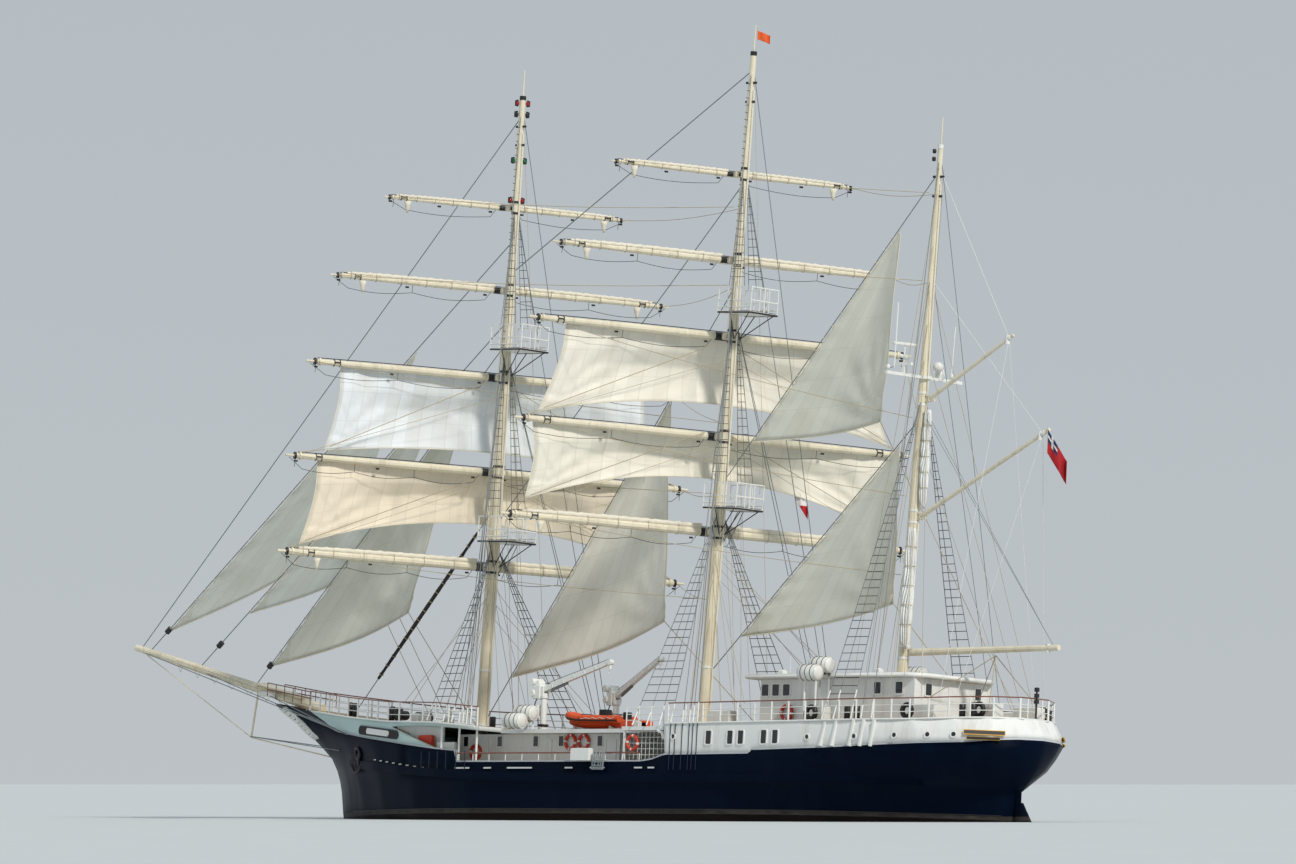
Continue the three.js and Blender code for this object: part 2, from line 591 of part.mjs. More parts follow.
function craneJib() {
  const bore = bar([0, -300, 0], [0, 300, 0], EYE.pin + PIN_GAP, undefined, PIN_SIDES);
  return join([
    bar([0, -120, 0], [0, 120, 0], 130, 130, 12),
    sideCut([[0, -125], [0, 125], [-1500, 190], [-CRANE.jib, 90], [-CRANE.jib, -90], [-1500, -110]], 115),
    bar([-CRANE.jib, -140, 0], [-CRANE.jib, 140, 0], 150, 150, 10),
  ]).subtract(bore);
}

// Superstructure
function forecastle() {
  const top = FORECASTLE_TOP;
  const under = raised(top, -FORECASTLE_DECK_THICKNESS).filter(([x]) => x < RAKED_PLATING[0][0]).toReversed();
  const paint = raised(PAINT_LINE, SEAT).filter(([x]) => x >= 13200).toReversed();
  const outline = [...top, ...paint, RAKED_PLATING[1], RAKED_PLATING[0], ...under];
  const underDeck = sideCut([
    [9000, 0], [PASSAGE_HEAD, 0], [PASSAGE_HEAD, 4720], ...under, [9000, under.at(-1)[1]],
  ]);
  const matrix = mastMatrix(MASTS.fore);
  return form.intersect(sideCut(outline))
    .subtract(well.intersect(underDeck))
    .subtract(mastPole(MASTS.fore, SEAT, matrix))
    .subtract(bowspritSpar(SEAT))
    .subtract(bar(spritPoint(BOWSPRIT.heel[0] - 3), spritPoint(BOWSPRIT.heel[0] + 3), BOWSPRIT.heelRadius + 2, undefined, 12));
}

function raftRack(x, y, z, foot, side) {
  const canisters = [0, 1].map((i) => {
    const [cy, cz] = [side * (y - i * RAFT.spacing), z + i * RAFT.climb];
    return bar([x - RAFT.length / 2, cy, cz], [x + RAFT.length / 2, cy, cz], RAFT.radius, RAFT.radius, 12);
  });
  const inner = side * (y - 1.3 * RAFT.spacing);
  const rack = [-300, 300].flatMap((dx) => [
    bar([x + dx, side * (y + 250), z - 420], [x + dx, inner, z + 100], 60, 60, 4),
    bar([x + dx, inner, foot], [x + dx, inner, z + 120], 60, 60, 4),
  ]);
  return [...canisters, ...rack];
}

function raftRacks(nodeName) {
  return RAFT_RACKS.filter(([carrier]) => carrier === nodeName)
    .flatMap(([, x, y, z, foot]) => [1, -1].flatMap((side) => raftRack(x, y, z, foot, side)));
}

function poop() {
  const bottom = raised(PAINT_LINE, SEAT).filter(([x]) => x <= -3600);
  const body = form.intersect(sideCut([...bottom, ...POOP_TOP.toReversed()]));
  return join([body, ...raftRacks('poop')]);
}

function upperDeck() {
  const { z, thickness, aft, fore, half, wideFore, wideHalf } = UPPER_DECK;
  const plan = [[aft, -wideHalf], [wideFore, -wideHalf], [wideFore, -half], [fore, -half], [fore, half], [wideFore, half], [wideFore, wideHalf], [aft, wideHalf]];
  const pillars = [PILLAR.y, -PILLAR.y].map((y) => {
    const w = PILLAR.width / 2;
    return block(PILLAR.x - w, PILLAR.x + w, y - w, y + w, 2811, z + 10);
  });
  const pedestals = CRANES.map(([side, x]) => {
    const y = side === 'port' ? CRANE.y : -CRANE.y;
    return bar([x, y, z], [x, y, CRANE.foot + 160 - SEAT], CRANE.radius * 1.5, CRANE.radius * 1.5, 12);
  });
  const chocks = [-1300, 1300].map((dx) => block(BOAT.x + dx - 60, BOAT.x + dx + 60, BOAT.y - 550, BOAT.y + 550, z + 100, BOAT.z - 180));
  return join([planCut(plan, z, thickness), ...pillars, ...pedestals, ...chocks, ...raftRacks('upper_deck')])
    .subtract(mastPole(MASTS.main, SEAT, mastMatrix(MASTS.main)))
    .subtract(rescueBoat(SEAT));
}

function rescueBoat(extra = 0) {
  const rows = [[-1, 0.72, 0.9], [-0.4, 1, 1], [0.3, 0.98, 1], [0.72, 0.72, 0.9], [1, 0.16, 0.45]].map(([share, wide, deep]) => {
    const x = BOAT.x + (share * BOAT.length) / 2 + Math.sign(share) * extra;
    const w = (BOAT.beam / 2) * wide + extra;
    const keel = BOAT.z - BOAT.depth * 0.45 * deep - extra;
    const top = BOAT.z + BOAT.depth * 0.5 + 180 * Math.max(0, share) + extra;
    return [[x, -w * 0.35, keel], [x, w * 0.35, keel], [x, w, BOAT.z - 60], [x, w, top - 120], [x, w * 0.8, top], [x, -w * 0.8, top], [x, -w, top - 120], [x, -w, BOAT.z - 60]]
      .map(([px, py, pz]) => [px, py + BOAT.y, pz]);
  });
  return loft(rows);
}

function wheelhouse() {
  const { aft, fore, half, sill, top, waistAft, waistHalf } = HOUSE;
  const body = join([
    block(aft, waistAft, -half, half, sill - 400, top),
    block(waistAft - 10, fore, -waistHalf, waistHalf, sill - 400, top),
  ]);
  const deckCut = sideCut([[-BIG, 0], [BIG, 0], [BIG, 4720 + SEAT], ...raised(POOP_TOP, SEAT).toReversed(), [-BIG, POOP_TOP[0][1] + SEAT]]);
  return body.subtract(deckCut);
}

function wheelhouseRoof() {
  const { z, thickness, aft, fore, half, tail } = ROOF;
  const plan = [[aft, -tail], [HOUSE.aft + 250, -half], [fore, -half], [fore, half], [HOUSE.aft + 250, half], [aft, tail]];
  return planCut(plan, z, thickness);
}

// Rudder and propellers
function rudder() {
  const { axisX, stockRadius, foot, head, stockTop } = RUDDER;
  const blade = sideCut([[0, foot], [0, head], [-250, head], [-850, 0], [-1750, -2300], [-1750, -4000], [-1550, foot]], 90);
  return join([blade, bar([0, 0, foot], [0, 0, stockTop], stockRadius, stockRadius, STOCK_SIDES)]);
}

function propeller(hand) {
  const { hub, hubLength, blade } = PROPELLER;
  const pieces = [bar([hubLength / 2, 0, 0], [-hubLength / 2, 0, 0], hub, hub * 0.55, 12)];
  for (let i = 0; i < 4; i += 1) {
    const geometry = new THREE.CylinderGeometry(330, 130, blade - hub * 0.5, 8);
    geometry.scale(1, 1, 0.13);
    geometry.translate(0, (blade + hub * 0.5) / 2, 0);
    geometry.rotateY(hand * 0.85);
    geometry.rotateX((i * Math.PI) / 2);
    pieces.push(toSolid(geometry));
  }
  return join(pieces);
}

// Assembly
const ship = new THREE.Group();
ship.scale.setScalar(MODEL_SCALE);
ship.add(node('hull', hull(), navyPaint));
ship.add(node('forecastle', forecastle(), whitePaint));
ship.add(node('poop', poop(), whitePaint));
ship.add(node('mid_deckhouse', block(DECKHOUSE.aft, DECKHOUSE.fore, -DECKHOUSE.half, DECKHOUSE.half, WAIST_DECK_Z + SEAT, DECKHOUSE.top), whitePaint));
ship.add(node('upper_deck', upperDeck(), whitePaint));
ship.add(node('wheelhouse', wheelhouse(), whitePaint));
ship.add(node('wheelhouse_roof', wheelhouseRoof(), whitePaint));
ship.add(node('bowsprit', bowsprit(), creamPaint));
ship.add(node('rescue_boat', rescueBoat(), orangeRubber));

[['port', 1], ['starboard', -1]].forEach(([name, side]) => {
  const screw = node(`propeller_${name}`, propeller(side), bronze);
  screw.position.set(PROPELLER.x, side * PROPELLER.y, PROPELLER.z);
  ship.add(screw);
});

const rudderMesh = node('rudder', rudder(), darkPaint);
rudderMesh.position.x = RUDDER.axisX;
ship.add(rudderMesh);

CRANES.forEach(([name, x, slewed, luffed]) => {
  const side = name === 'port' ? 1 : -1;
  const crane = new THREE.Group();
  crane.position.set(x, side * CRANE.y, 0);
  crane.rotation.z = THREE.MathUtils.degToRad(side * slewed);
  crane.add(node(`crane_${name}_column`, craneColumn(), whitePaint));
  const jib = node(`crane_${name}_jib`, craneJib(), whitePaint);
  jib.position.z = CRANE.head;
  jib.rotation.y = THREE.MathUtils.degToRad(luffed);
  crane.add(jib);
  ship.add(crane);
});

const mastGroups = Object.fromEntries(Object.entries(MASTS).map(([key, mast]) => {
  const group = new THREE.Group();
  group.position.x = mast.x;
  group.rotation.y = -THREE.MathUtils.degToRad(mast.rake);
  group.add(node(`${key}_mast`, mastWithBrackets(key), creamPaint));
  ship.add(group);
  return [key, group];
}));

TOPS.forEach(([key, name, z]) => mastGroups[key].add(node(`${key}_${name}_top`, railedTop(MASTS[key], z), whitePaint)));

Object.entries(YARDS).forEach(([key, yards]) => {
  const braced = new THREE.Group();
  braced.position.x = PIVOT_AHEAD;
  braced.rotation.z = -THREE.MathUtils.degToRad(BRACED[key]);
  mastGroups[key].add(braced);
  yards.forEach(([name, z, half, radius]) => {
    const mesh = node(`${key}_${name}_yard`, yard(half, radius), creamPaint);
    mesh.position.set(YARD_AHEAD, 0, z);
    braced.add(mesh);
  });
  SQUARE_SAILS.filter(([mast]) => mast === key).forEach(([, name, ...shape]) => {
    const [, z, half, radius] = yards.find(([carrier]) => carrier === name);
    const clear = toSolid(toGeometry(yard(half, radius + SEAT)).translate(0, 0, z));
    const mesh = node(`${key}_${name}`, squareSail(z - radius * 0.3, ...shape).subtract(clear), sailcloth);
    mesh.position.x = YARD_AHEAD;
    braced.add(mesh);
  });
});

const mizzenAft = new THREE.Group();
mizzenAft.position.x = -SPAR_PIVOT_AFT;
mastGroups.mizzen.add(mizzenAft);
MIZZEN_SPARS.forEach(([name, z, ...shape]) => {
  const mesh = node(name, mizzenSpar(...shape), creamPaint);
  mesh.position.z = z;
  mizzenAft.add(mesh);
});
BRAILED.forEach(([name, low, high, radius]) => {
  const place = MASTS.mizzen.girth * 0.85 + radius * 0.75;
  const bundle = turned([[low, radius * 0.8], [low + 600, radius], [high - 900, radius * 0.9], [high, radius * 0.45]], 10,
    new THREE.Matrix4().makeTranslation(-place, 0, 0));
  mastGroups.mizzen.add(node(`${name}_spanker_brailed`, bundle.subtract(mastPole(MASTS.mizzen, SEAT)), sailcloth));
});
mastGroups.mizzen.add(node('mizzen_crosstree', crosstree().subtract(mastPole(MASTS.mizzen, SEAT)), whitePaint));

const carriers = join([
  ...Object.values(MASTS).map((mast) => mastPole(mast, SEAT, mastMatrix(mast))), bowspritSpar(SEAT),
]);
STAYS.forEach(([name, x, z, mastKey, height]) => {
  const upper = new THREE.Vector3(0, 0, height).applyMatrix4(mastMatrix(MASTS[mastKey]));
  const whole = bar([x, 0, z], upper.toArray(), STAY_RADIUS, STAY_RADIUS, 6).subtract(carriers);
  const stay = name === 'fore_stay' ? whole.subtract(forecastle().translate([0, 0, SEAT])) : whole;
  ship.add(node(name, stay, wire));
  STAYSAILS.filter(([carrier]) => carrier === name).forEach(([, sailName, tackZ, headZ, clew, belly]) => {
    const onStay = (pz) => [x + ((upper.x - x) * (pz - z)) / (upper.z - z), 0, pz];
    const clear = bar([x, 0, z], upper.toArray(), STAY_RADIUS + 2 * SEAT, undefined, 6);
    ship.add(node(sailName, staysail(onStay(tackZ), onStay(headZ), clew, belly).subtract(clear), sailcloth));
  });
});

export default ship;
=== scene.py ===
"""Three-masted barque with sails set: the finish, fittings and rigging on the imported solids."""

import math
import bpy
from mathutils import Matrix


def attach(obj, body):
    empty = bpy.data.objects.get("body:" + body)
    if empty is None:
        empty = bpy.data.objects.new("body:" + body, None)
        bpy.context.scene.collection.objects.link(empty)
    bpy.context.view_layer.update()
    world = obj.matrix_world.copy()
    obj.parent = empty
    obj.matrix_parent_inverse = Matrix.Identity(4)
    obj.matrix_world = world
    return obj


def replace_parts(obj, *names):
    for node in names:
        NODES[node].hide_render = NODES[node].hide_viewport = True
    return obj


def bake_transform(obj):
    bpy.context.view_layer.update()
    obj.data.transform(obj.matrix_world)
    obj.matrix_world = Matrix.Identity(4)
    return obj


bl_info = {
    "name": "Three-masted Barque",
    "version": (1, 0, 0),
    "blender": (4, 5, 0),
    "location": "3D View > Sidebar > Barque",
    "description": "Dresses the solids of a sailing ship with paint, planking, rails, rigging and sails",
    "category": "Object",
}

import bpy
from bpy.props import FloatProperty, PointerProperty, StringProperty
from mathutils import Matrix, Vector

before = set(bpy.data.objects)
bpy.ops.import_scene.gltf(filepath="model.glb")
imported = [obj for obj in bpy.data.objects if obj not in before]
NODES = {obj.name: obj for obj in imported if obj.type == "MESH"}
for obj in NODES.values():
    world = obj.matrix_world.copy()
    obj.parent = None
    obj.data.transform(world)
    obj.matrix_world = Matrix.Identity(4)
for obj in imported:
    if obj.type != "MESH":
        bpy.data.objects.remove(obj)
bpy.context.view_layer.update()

# Every size below is in full-size metres. The model is half size, so meshes are made at K times them.
K = 0.5
HEEL = math.radians(3.5)
UP = Vector((0, 0, 1))
SIDES = (1, -1)
WORDS = ((1, "port"), (-1, "starboard"))
ON_END = Matrix.Rotation(math.radians(-90), 4, "Y")  # stands a piece that lies along x on its end
MAIN_DECK, ROOF = 2.1, 7.3
# Heights on the hull: the wet line, the boot-top's edge, and the width of the line along the topsides' edge
WET_LINE, BOOT_TOP, TOP_LINE = 0.06, 0.27, 0.075

HULL_LEVELS = [
    # z, aft, fore, half, run, run_round, run_fine, entry, entry_round, entry_fine
    (-4.5, -22.6, 20.0, 0.2, 4.0, 2.0, 0.6, 4.0, 2.0, 0.6),
    (-4.25, -22.88, 20.9, 1.5, 18.0, 2.0, 2.2, 18.0, 2.0, 1.6),
    (-3.4, -22.88, 22.7, 3.75, 20.0, 2.4, 2.0, 19.0, 2.2, 1.35),
    (-2.0, -22.89, 24.0, 4.8, 20.0, 2.6, 1.6, 18.0, 2.2, 1.2),
    (-0.6, -22.9, 24.75, 5.12, 20.0, 3.0, 1.3, 17.0, 2.2, 1.1),
    (0.3, -22.95, 24.95, 5.22, 20.0, 3.1, 1.15, 17.0, 2.2, 1.0),
    (1.4, -23.15, 25.12, 5.28, 18.0, 3.0, 0.95, 17.0, 2.3, 1.0),
    (2.0, -23.7, 25.28, 5.3, 16.5, 3.2, 0.75, 17.0, 2.4, 1.0),
    (2.6, -24.15, 25.55, 5.3, 15.5, 3.3, 0.6, 17.0, 2.35, 1.0),
    (3.25, -24.42, 26.0, 5.3, 14.5, 3.4, 0.52, 17.2, 2.2, 1.0),
    (3.9, -24.62, 26.85, 5.3, 14.0, 3.5, 0.46, 17.5, 2.05, 1.03),
    (4.35, -24.52, 27.5, 5.28, 14.0, 3.5, 0.46, 17.8, 1.9, 1.06),
    (5.2, -24.06, 28.8, 5.2, 14.0, 3.5, 0.48, 18.4, 1.7, 1.1),
    (6.3, -23.6, 30.7, 5.1, 14.0, 3.5, 0.5, 19.2, 1.5, 1.15),
]
PAINT_LINE = [
    # x and z of the upper edge of the dark topsides
    (-26.5, 4.25), (-24.6, 4.13), (-22.5, 3.85), (-14.4, 3.49), (-9.7, 3.38), (-9.69, 3.2), (-3.75, 3.15),
    (-3.4, 3.06), (-2.9, 2.91), (-2.1, 2.81), (11.35, 2.81), (11.36, 3.39), (13.2, 3.52), (16.0, 3.8),
    (20.5, 4.27), (23.7, 4.65), (27.1, 5.5), (31.5, 6.12),
]
# Edges of the poop's and the forecastle's deck, x and z
POOP_TOP = [(-26.5, 5.23), (-24.2, 5.15), (-20.0, 4.92), (-14.0, 4.83), (-3.6, 4.72)]
FORECASTLE_TOP = [(9.8, 4.62), (13.2, 4.89), (17.8, 5.03), (22.0, 5.36), (26.3, 5.8), (31.5, 6.42)]

# Masts: x of the axis at the waterline, rake in degrees, girth radius, heights of the foot and the truck
MASTS = {
    "fore": (14.8, 1.70, 0.34, 2.1, 38.85),
    "main": (-1.22, 2.66, 0.34, 2.1, 40.15),
    "mizzen": (-14.71, 2.63, 0.29, 7.26, 34.45),
}
# Share of the mast's height and share of its girth there
MAST_TAPER = [(0.0, 1.0), (0.36, 1.0), (0.42, 0.9), (0.64, 0.74), (0.7, 0.66), (0.9, 0.52), (1.0, 0.46)]
# How far the yards' pivot lies ahead of the mast, and a yard's axis ahead of the pivot
PIVOT_AHEAD, YARD_AHEAD = 0.55, 0.38
BRACED = {"fore": 25.5, "main": 24.0}  # degrees
YARDS = {
    # name, height, half length, radius
    "fore": [("course", 13.5, 11.6, 0.225), ("lower_topsail", 18.6, 11.5, 0.205),
             ("upper_topsail", 23.7, 10.7, 0.205), ("topgallant", 28.4, 9.7, 0.165),
             ("royal", 32.85, 6.95, 0.125)],
    "main": [("course", 15.0, 11.6, 0.225), ("lower_topsail", 20.0, 11.25, 0.205),
             ("upper_topsail", 25.25, 10.85, 0.205), ("topgallant", 29.25, 9.85, 0.165),
             ("royal", 33.75, 7.0, 0.125)],
}
# Radius of the rolls on the yards without a set sail
FURLED = {"course": 0.15, "topgallant": 0.12, "royal": 0.095}
# Heights of the tops' floors
TOPS = {("fore", "lower"): 14.8, ("fore", "upper"): 25.1, ("main", "lower"): 16.2, ("main", "upper"): 26.4}
SHROUDS = {
    # hounds, feet (x), backstays (height, x)
    "fore": (14.4, (13.9, 13.2, 12.5, 11.8), ((24.6, 11.2), (24.6, 10.9), (32.4, 10.6), (37.8, 10.3))),
    "main": (15.8, (-1.4, -2.4, -3.3, -4.09), ((26.0, -4.91), (26.0, -5.39), (33.4, -5.65), (39.0, -5.95))),
    "mizzen": (21.3, (-14.4, -15.14, -16.26), ((27.5, -16.9), (33.6, -17.54))),
}
FALLS = {
    # deck, step aft, first one's x from the mast, spread of the feet
    "fore": (4.95, -0.28, -0.2, 1.4), "main": (4.75, -0.28, -0.2, 1.4), "mizzen": (ROOF, 0.2, 0.7, 0.9),
}
SIDE_FALLS = {
    # x at the rail, height on the mast
    "fore": ((10.8, 11.6), (11.7, 12.4), (12.5, 10.8), (15.6, 12.8), (16.4, 12.0)),
    "main": ((-6.6, 13.2), (-7.4, 12.6), (-8.2, 14.0), (-9.0, 13.6)),
    "mizzen": ((-18.4, 19.0), (-19.2, 23.4), (-20.2, 27.0)),
}
# Square sails: mast, yard, z of clews, half head, half foot, arch of the foot, belly, colour
SQUARE_SAILS = [
    ("fore", "lower_topsail", 13.93, 9.6, 10.4, 1.9, 1.15, "#EFE2CC"),
    ("fore", "upper_topsail", 19.02, 8.65, 9.35, 0.7, 1.1, "#E9EEF1"),
    ("main", "lower_topsail", 15.85, 10.1, 10.3, 2.0, 1.15, "#EDE8D9"),
    ("main", "upper_topsail", 20.4, 8.6, 9.95, 1.35, 1.15, "#EEE9DC"),
]
STAYS = {
    # lower x and z, mast, height of the upper end
    "outer_jib_stay": (41.0, 9.26, "fore", 31.1), "middle_jib_stay": (36.9, 8.3, "fore", 26.8),
    "inner_jib_stay": (32.35, 7.25, "fore", 25.6), "main_stay": (14.6, 5.0, "main", 28.0),
    "mizzen_stay": (-1.56, 7.48, "mizzen", 20.55), "mizzen_topmast_stay": (-2.04, 17.45, "mizzen", 33.1),
    "fore_stay": (24.6, 5.5, "fore", 16.85), "flying_jib_stay": (41.7, 9.43, "fore", 37.8),
    "main_topgallant_stay": (14.334, 15.693, "main", 33.3), "main_royal_stay": (13.931, 29.287, "main", 39.2),
}
# Spars on the mizzen: height of the pivot, run aft, rise. The pivots lie SPAR_PIVOT behind the mast's axis.
SPARS = {"boom": (8.6, 9.76, 0.12), "lower_gaff": (15.5, 8.31, 4.174), "upper_gaff": (21.5, 5.44, 3.037)}
SPAR_PIVOT = 0.48
STAYSAILS = [
    # stay, sail, z of tack and head on the stay, clew, belly, colour
    ("outer_jib_stay", "outer_jib", 10.43, 25.4, (27.3, -1.5, 15.75), 0.7, "#E0E2D8"),
    ("middle_jib_stay", "middle_jib", 11.34, 22.9, (25.1, -1.5, 14.2), 0.6, "#DADDD5"),
    ("inner_jib_stay", "inner_jib", 8.4, 22.7, (22.26, -1.6, 11.34), 0.7, "#E3E3D6"),
    ("main_stay", "main_staysail", 7.6, 22.05, (3.15, -1.6, 10.57), 0.8, "#ECEADD"),
    ("mizzen_stay", "mizzen_staysail", 9.56, 19.17, (-13.19, -1.2, 11.21), 0.6, "#E6E5D9"),
    ("mizzen_topmast_stay", "mizzen_topmast_staysail", 19.7, 30.32, (-11.82, -1.2, 20.59), 0.6, "#E2E1D4"),
]
# Where the staysails' sheets end on the deck, in the order of STAYSAILS
SHEET_ENDS = [(21.4, -3.1), (20.4, -3.4), (18.8, -3.9), (-1.6, -4.9), (-17.0, -4.7), (-20.2, -3.6)]
# Seats on the hull's sides, x and z, and on the decks, x and y. A freeing port has x and a width.
POOP_WINDOWS = [(-6.77, 3.95), (-8.26, 3.95), (-8.99, 3.95), (-10.56, 3.97), (-11.34, 3.97)]
POOP_PORTHOLES = [(-4.31, 4.01), (-13.5, 3.95), (-16.55, 3.98), (-18.96, 4.05), (-20.75, 4.1), (-22.0, 4.14)]
FREEING_PORTS = [(10.8, 1.2), (8.9, 0.6), (6.55, 1.9), (3.0, 0.6), (0.95, 1.1), (-1.95, 0.6), (-2.85, 0.5)]
BITTS = [(-22.4, 2.9), (-21.8, 3.05), (-16.0, 4.4), (-15.4, 4.45), (22.6, 1.7), (23.1, 1.6), (17.4, 3.6),
         (18.0, 3.5)]
SOLIDS = {
    "hull": ["hull", "rudder"], "bulwark": ["forecastle", "poop"],
    "house": ["mid_deckhouse", "upper_deck", "wheelhouse"], "roof": ["wheelhouse_roof"],
    "bronze": ["propeller_port", "propeller_starboard"], "wire": list(STAYS),
    "white": [f"crane_{side}_{part}" for _, side in WORDS for part in ("column", "jib")]
             + [f"{key}_{name}_top" for key, name in TOPS] + ["mizzen_crosstree"],
    "spar": ["bowsprit"] + [f"{key}_mast" for key in MASTS] + list(SPARS)
            + [f"{key}_{yard[0]}_yard" for key in YARDS for yard in YARDS[key]],
}


# Geometry of the ship

def grow(share, roundness, fineness):
    """Share of the full breadth at a share of the way from an end to the middle body."""
    return (1 - (1 - min(1.0, max(0.0, share))) ** roundness) ** fineness


def level_breadth(level, x):
    _, aft, fore, half, run, run_round, run_fine, entry, entry_round, entry_fine = level
    return half * grow((x - aft) / run, run_round, run_fine) * grow((fore - x) / entry, entry_round,
                                                                    entry_fine)


def breadth(x, z):
    """Half breadth of the hull at x and z."""
    i = next((n for n, level in enumerate(HULL_LEVELS) if level[0] >= z), len(HULL_LEVELS) - 1)
    i = max(1, i)
    low, high = HULL_LEVELS[i - 1], HULL_LEVELS[i]
    share = (z - low[0]) / (high[0] - low[0])
    return level_breadth(low, x) * (1 - share) + level_breadth(high, x) * share


def height_on(line, x):
    """Height at x on a line of points."""
    for (x0, z0), (x1, z1) in zip(line, line[1:]):
        if x <= x1:
            return z0 + (z1 - z0) * (x - x0) / (x1 - x0)
    return line[-1][1]


def on_mast(key, x, y, z):
    """A point of the raked mast's own frame, in the ship's frame."""
    a = math.radians(MASTS[key][1])
    return Vector((MASTS[key][0] + x * math.cos(a) - z * math.sin(a), y, x * math.sin(a) + z * math.cos(a)))


def on_yard(key, x, y, z):
    """A point of the braced yards' frame: x ahead of the yard's axis, y along it to port."""
    b = math.radians(BRACED[key])
    x += YARD_AHEAD
    return on_mast(key, PIVOT_AHEAD + x * math.cos(b) + y * math.sin(b), -x * math.sin(b) + y * math.cos(b),
                   z)


def on_spar(name, share, up=0.0):
    """A point along the boom or a gaff, from its pivot (0) to its end (1)."""
    z, run, rise = SPARS[name]
    return on_mast("mizzen", -SPAR_PIVOT, 0, z) + Vector((-run * share, 0, rise * share + up))


def mast_radius(key, z):
    girth, foot, truck = MASTS[key][2:]
    share = (z - foot) / (truck - foot)
    for (s0, r0), (s1, r1) in zip(MAST_TAPER, MAST_TAPER[1:]):
        if share <= s1:
            return girth * (r0 + (r1 - r0) * max(0.0, share - s0) / (s1 - s0))
    return girth * MAST_TAPER[-1][1]


def on_side(x, z, side, out=0.0):
    """Placement on the hull's skin: local x along the ship, y outwards, z up."""
    slope = (breadth(x + 0.2, z) - breadth(x - 0.2, z)) / 0.4
    lean = math.atan((breadth(x, z + 0.15) - breadth(x, z - 0.15)) / 0.3)
    turn = math.atan(slope) if side > 0 else math.pi - math.atan(slope)
    place = Matrix.Translation((x, side * (breadth(x, z) + out), z))
    return place @ Matrix.Rotation(turn, 4, "Z") @ Matrix.Rotation(-lean, 4, "X")


def upright(x, y, z, turn=0.0):
    return Matrix.Translation((x, y, z)) @ Matrix.Rotation(math.radians(turn), 4, "Z")


def scaled(place, x=1, y=1, z=1):
    return place @ Matrix.Diagonal((x, y, z, 1))


def row(start, step, count):
    return [start + step * i for i in range(count)]


def at_side(x, z, side, out=0.0, level=None):
    """A point beside the hull's skin, whose breadth is taken at a level of its own where one is given."""
    return x, side * (breadth(x, z if level is None else level) + out), z


def on_sides(seats, out):
    return [on_side(x, z, side, out) for x, z in seats for side in SIDES]


def on_walls(seats):
    """Placements on the port and the starboard wall of a house."""
    return [upright(x, side * y, z, 0 if side > 0 else 180) for x, y, z in seats for side in SIDES]


def deck_height(x):
    """Height of the deck's edge on the forecastle, in the waist and on the poop."""
    if x > 9.9:
        return height_on(FORECASTLE_TOP, x)
    return height_on(POOP_TOP, x) if x < -3.6 else 4.6


def on_deck(x, y, up=0.0):
    return upright(x, y, deck_height(x) + up)


def on_end(key, x, y, z):
    """Placement of an upright piece in a mast's own frame."""
    return Matrix.Translation(on_mast(key, x, y, z)) @ ON_END


def mast_run(key, *points):
    return [on_mast(key, *point) for point in points]


def mast_band(key, z, low, high):
    return mast_run(key, (0, 0, z + low), (0, 0, z + high))


def yard_run(key, *points):
    return [on_yard(key, *point) for point in points]


def on_bowsprit(x):
    """Height of the bowsprit's axis."""
    return 5.96 + (x - 26.9) * 0.2343


# Finishes

def linear(colour):
    """A colour such as #1A2B3C as linear red, green, blue and alpha."""
    channels = [int(colour.lstrip("#")[i:i + 2], 16) / 255 for i in (0, 2, 4)]
    return [c / 12.92 if c <= 0.04045 else ((c + 0.055) / 1.055) ** 2.4 for c in channels] + [1.0]


def add(tree, kind, inputs=(), output=0, **settings):
    """Adds a node with its settings and links, and gives one of its outputs.

    inputs pairs a socket's name or number with a value or another node's output.
    """
    made = tree.nodes.new(f"ShaderNode{kind}")
    for key, value in settings.items():
        setattr(made, key, value)
    for key, value in dict(inputs).items():
        if isinstance(value, bpy.types.NodeSocket):
            tree.links.new(value, made.inputs[key])
        else:
            made.inputs[key].default_value = value
    return made.outputs[output] if made.outputs else None


def start_material(name):
    material = bpy.data.materials.new(name)
    material.use_nodes = True
    tree = material.node_tree
    tree.nodes.clear()
    return material, tree, add(tree, "TexCoord").node.outputs


def close_material(tree, colour, shader, height=None, bump=0.1, distance=0.01, rounding=0.0):
    """Ends a material. rounding softens the facets of a coarse solid, within that radius."""
    inputs = {"Base Color": colour, **shader}
    if height is not None:
        relief = {"Strength": bump, "Distance": distance, "Height": height}
        if rounding:
            relief["Normal"] = add(tree, "Bevel", {"Radius": rounding}, samples=6)
        inputs["Normal"] = add(tree, "Bump", relief)
    add(tree, "OutputMaterial", {"Surface": add(tree, "BsdfPrincipled", inputs)})


def tint(tree, base, factor, share, colour):
    """The base with a colour laid over it, as strongly as the factor times the share."""
    return add(tree, "Mix", {0: add(tree, "Math", {0: factor, 1: share}, operation="MULTIPLY"), 6: base,
                             7: linear(colour)}, 2, data_type="RGBA")


def cloth_shares(tree):
    """Shares across and up a sheet of cloth."""
    return add(tree, "SeparateXYZ", {0: add(tree, "UVMap", uv_map="cloth")}).node.outputs


def near(tree, value, centre, width):
    """1 where the value is within a width of the centre."""
    return add(tree, "Math",
               {0: add(tree, "Math", {0: add(tree, "Math", {0: value, 1: centre}, operation="SUBTRACT")},
                       operation="ABSOLUTE"), 1: width}, operation="LESS_THAN")


def weathering(tree, place, scale, stretch=(1, 1, 0.12)):
    """Rain streaks: noise drawn out downwards. Returned as 0 to 1, mostly low."""
    drawn = add(tree, "Mapping", {"Vector": place, "Scale": stretch})
    return add(tree, "MapRange",
               {"Value": add(tree, "TexNoise", {"Vector": drawn, "Scale": scale, "Detail": 6.0,
                                                "Roughness": 0.65}), 1: 0.5, 2: 0.78})


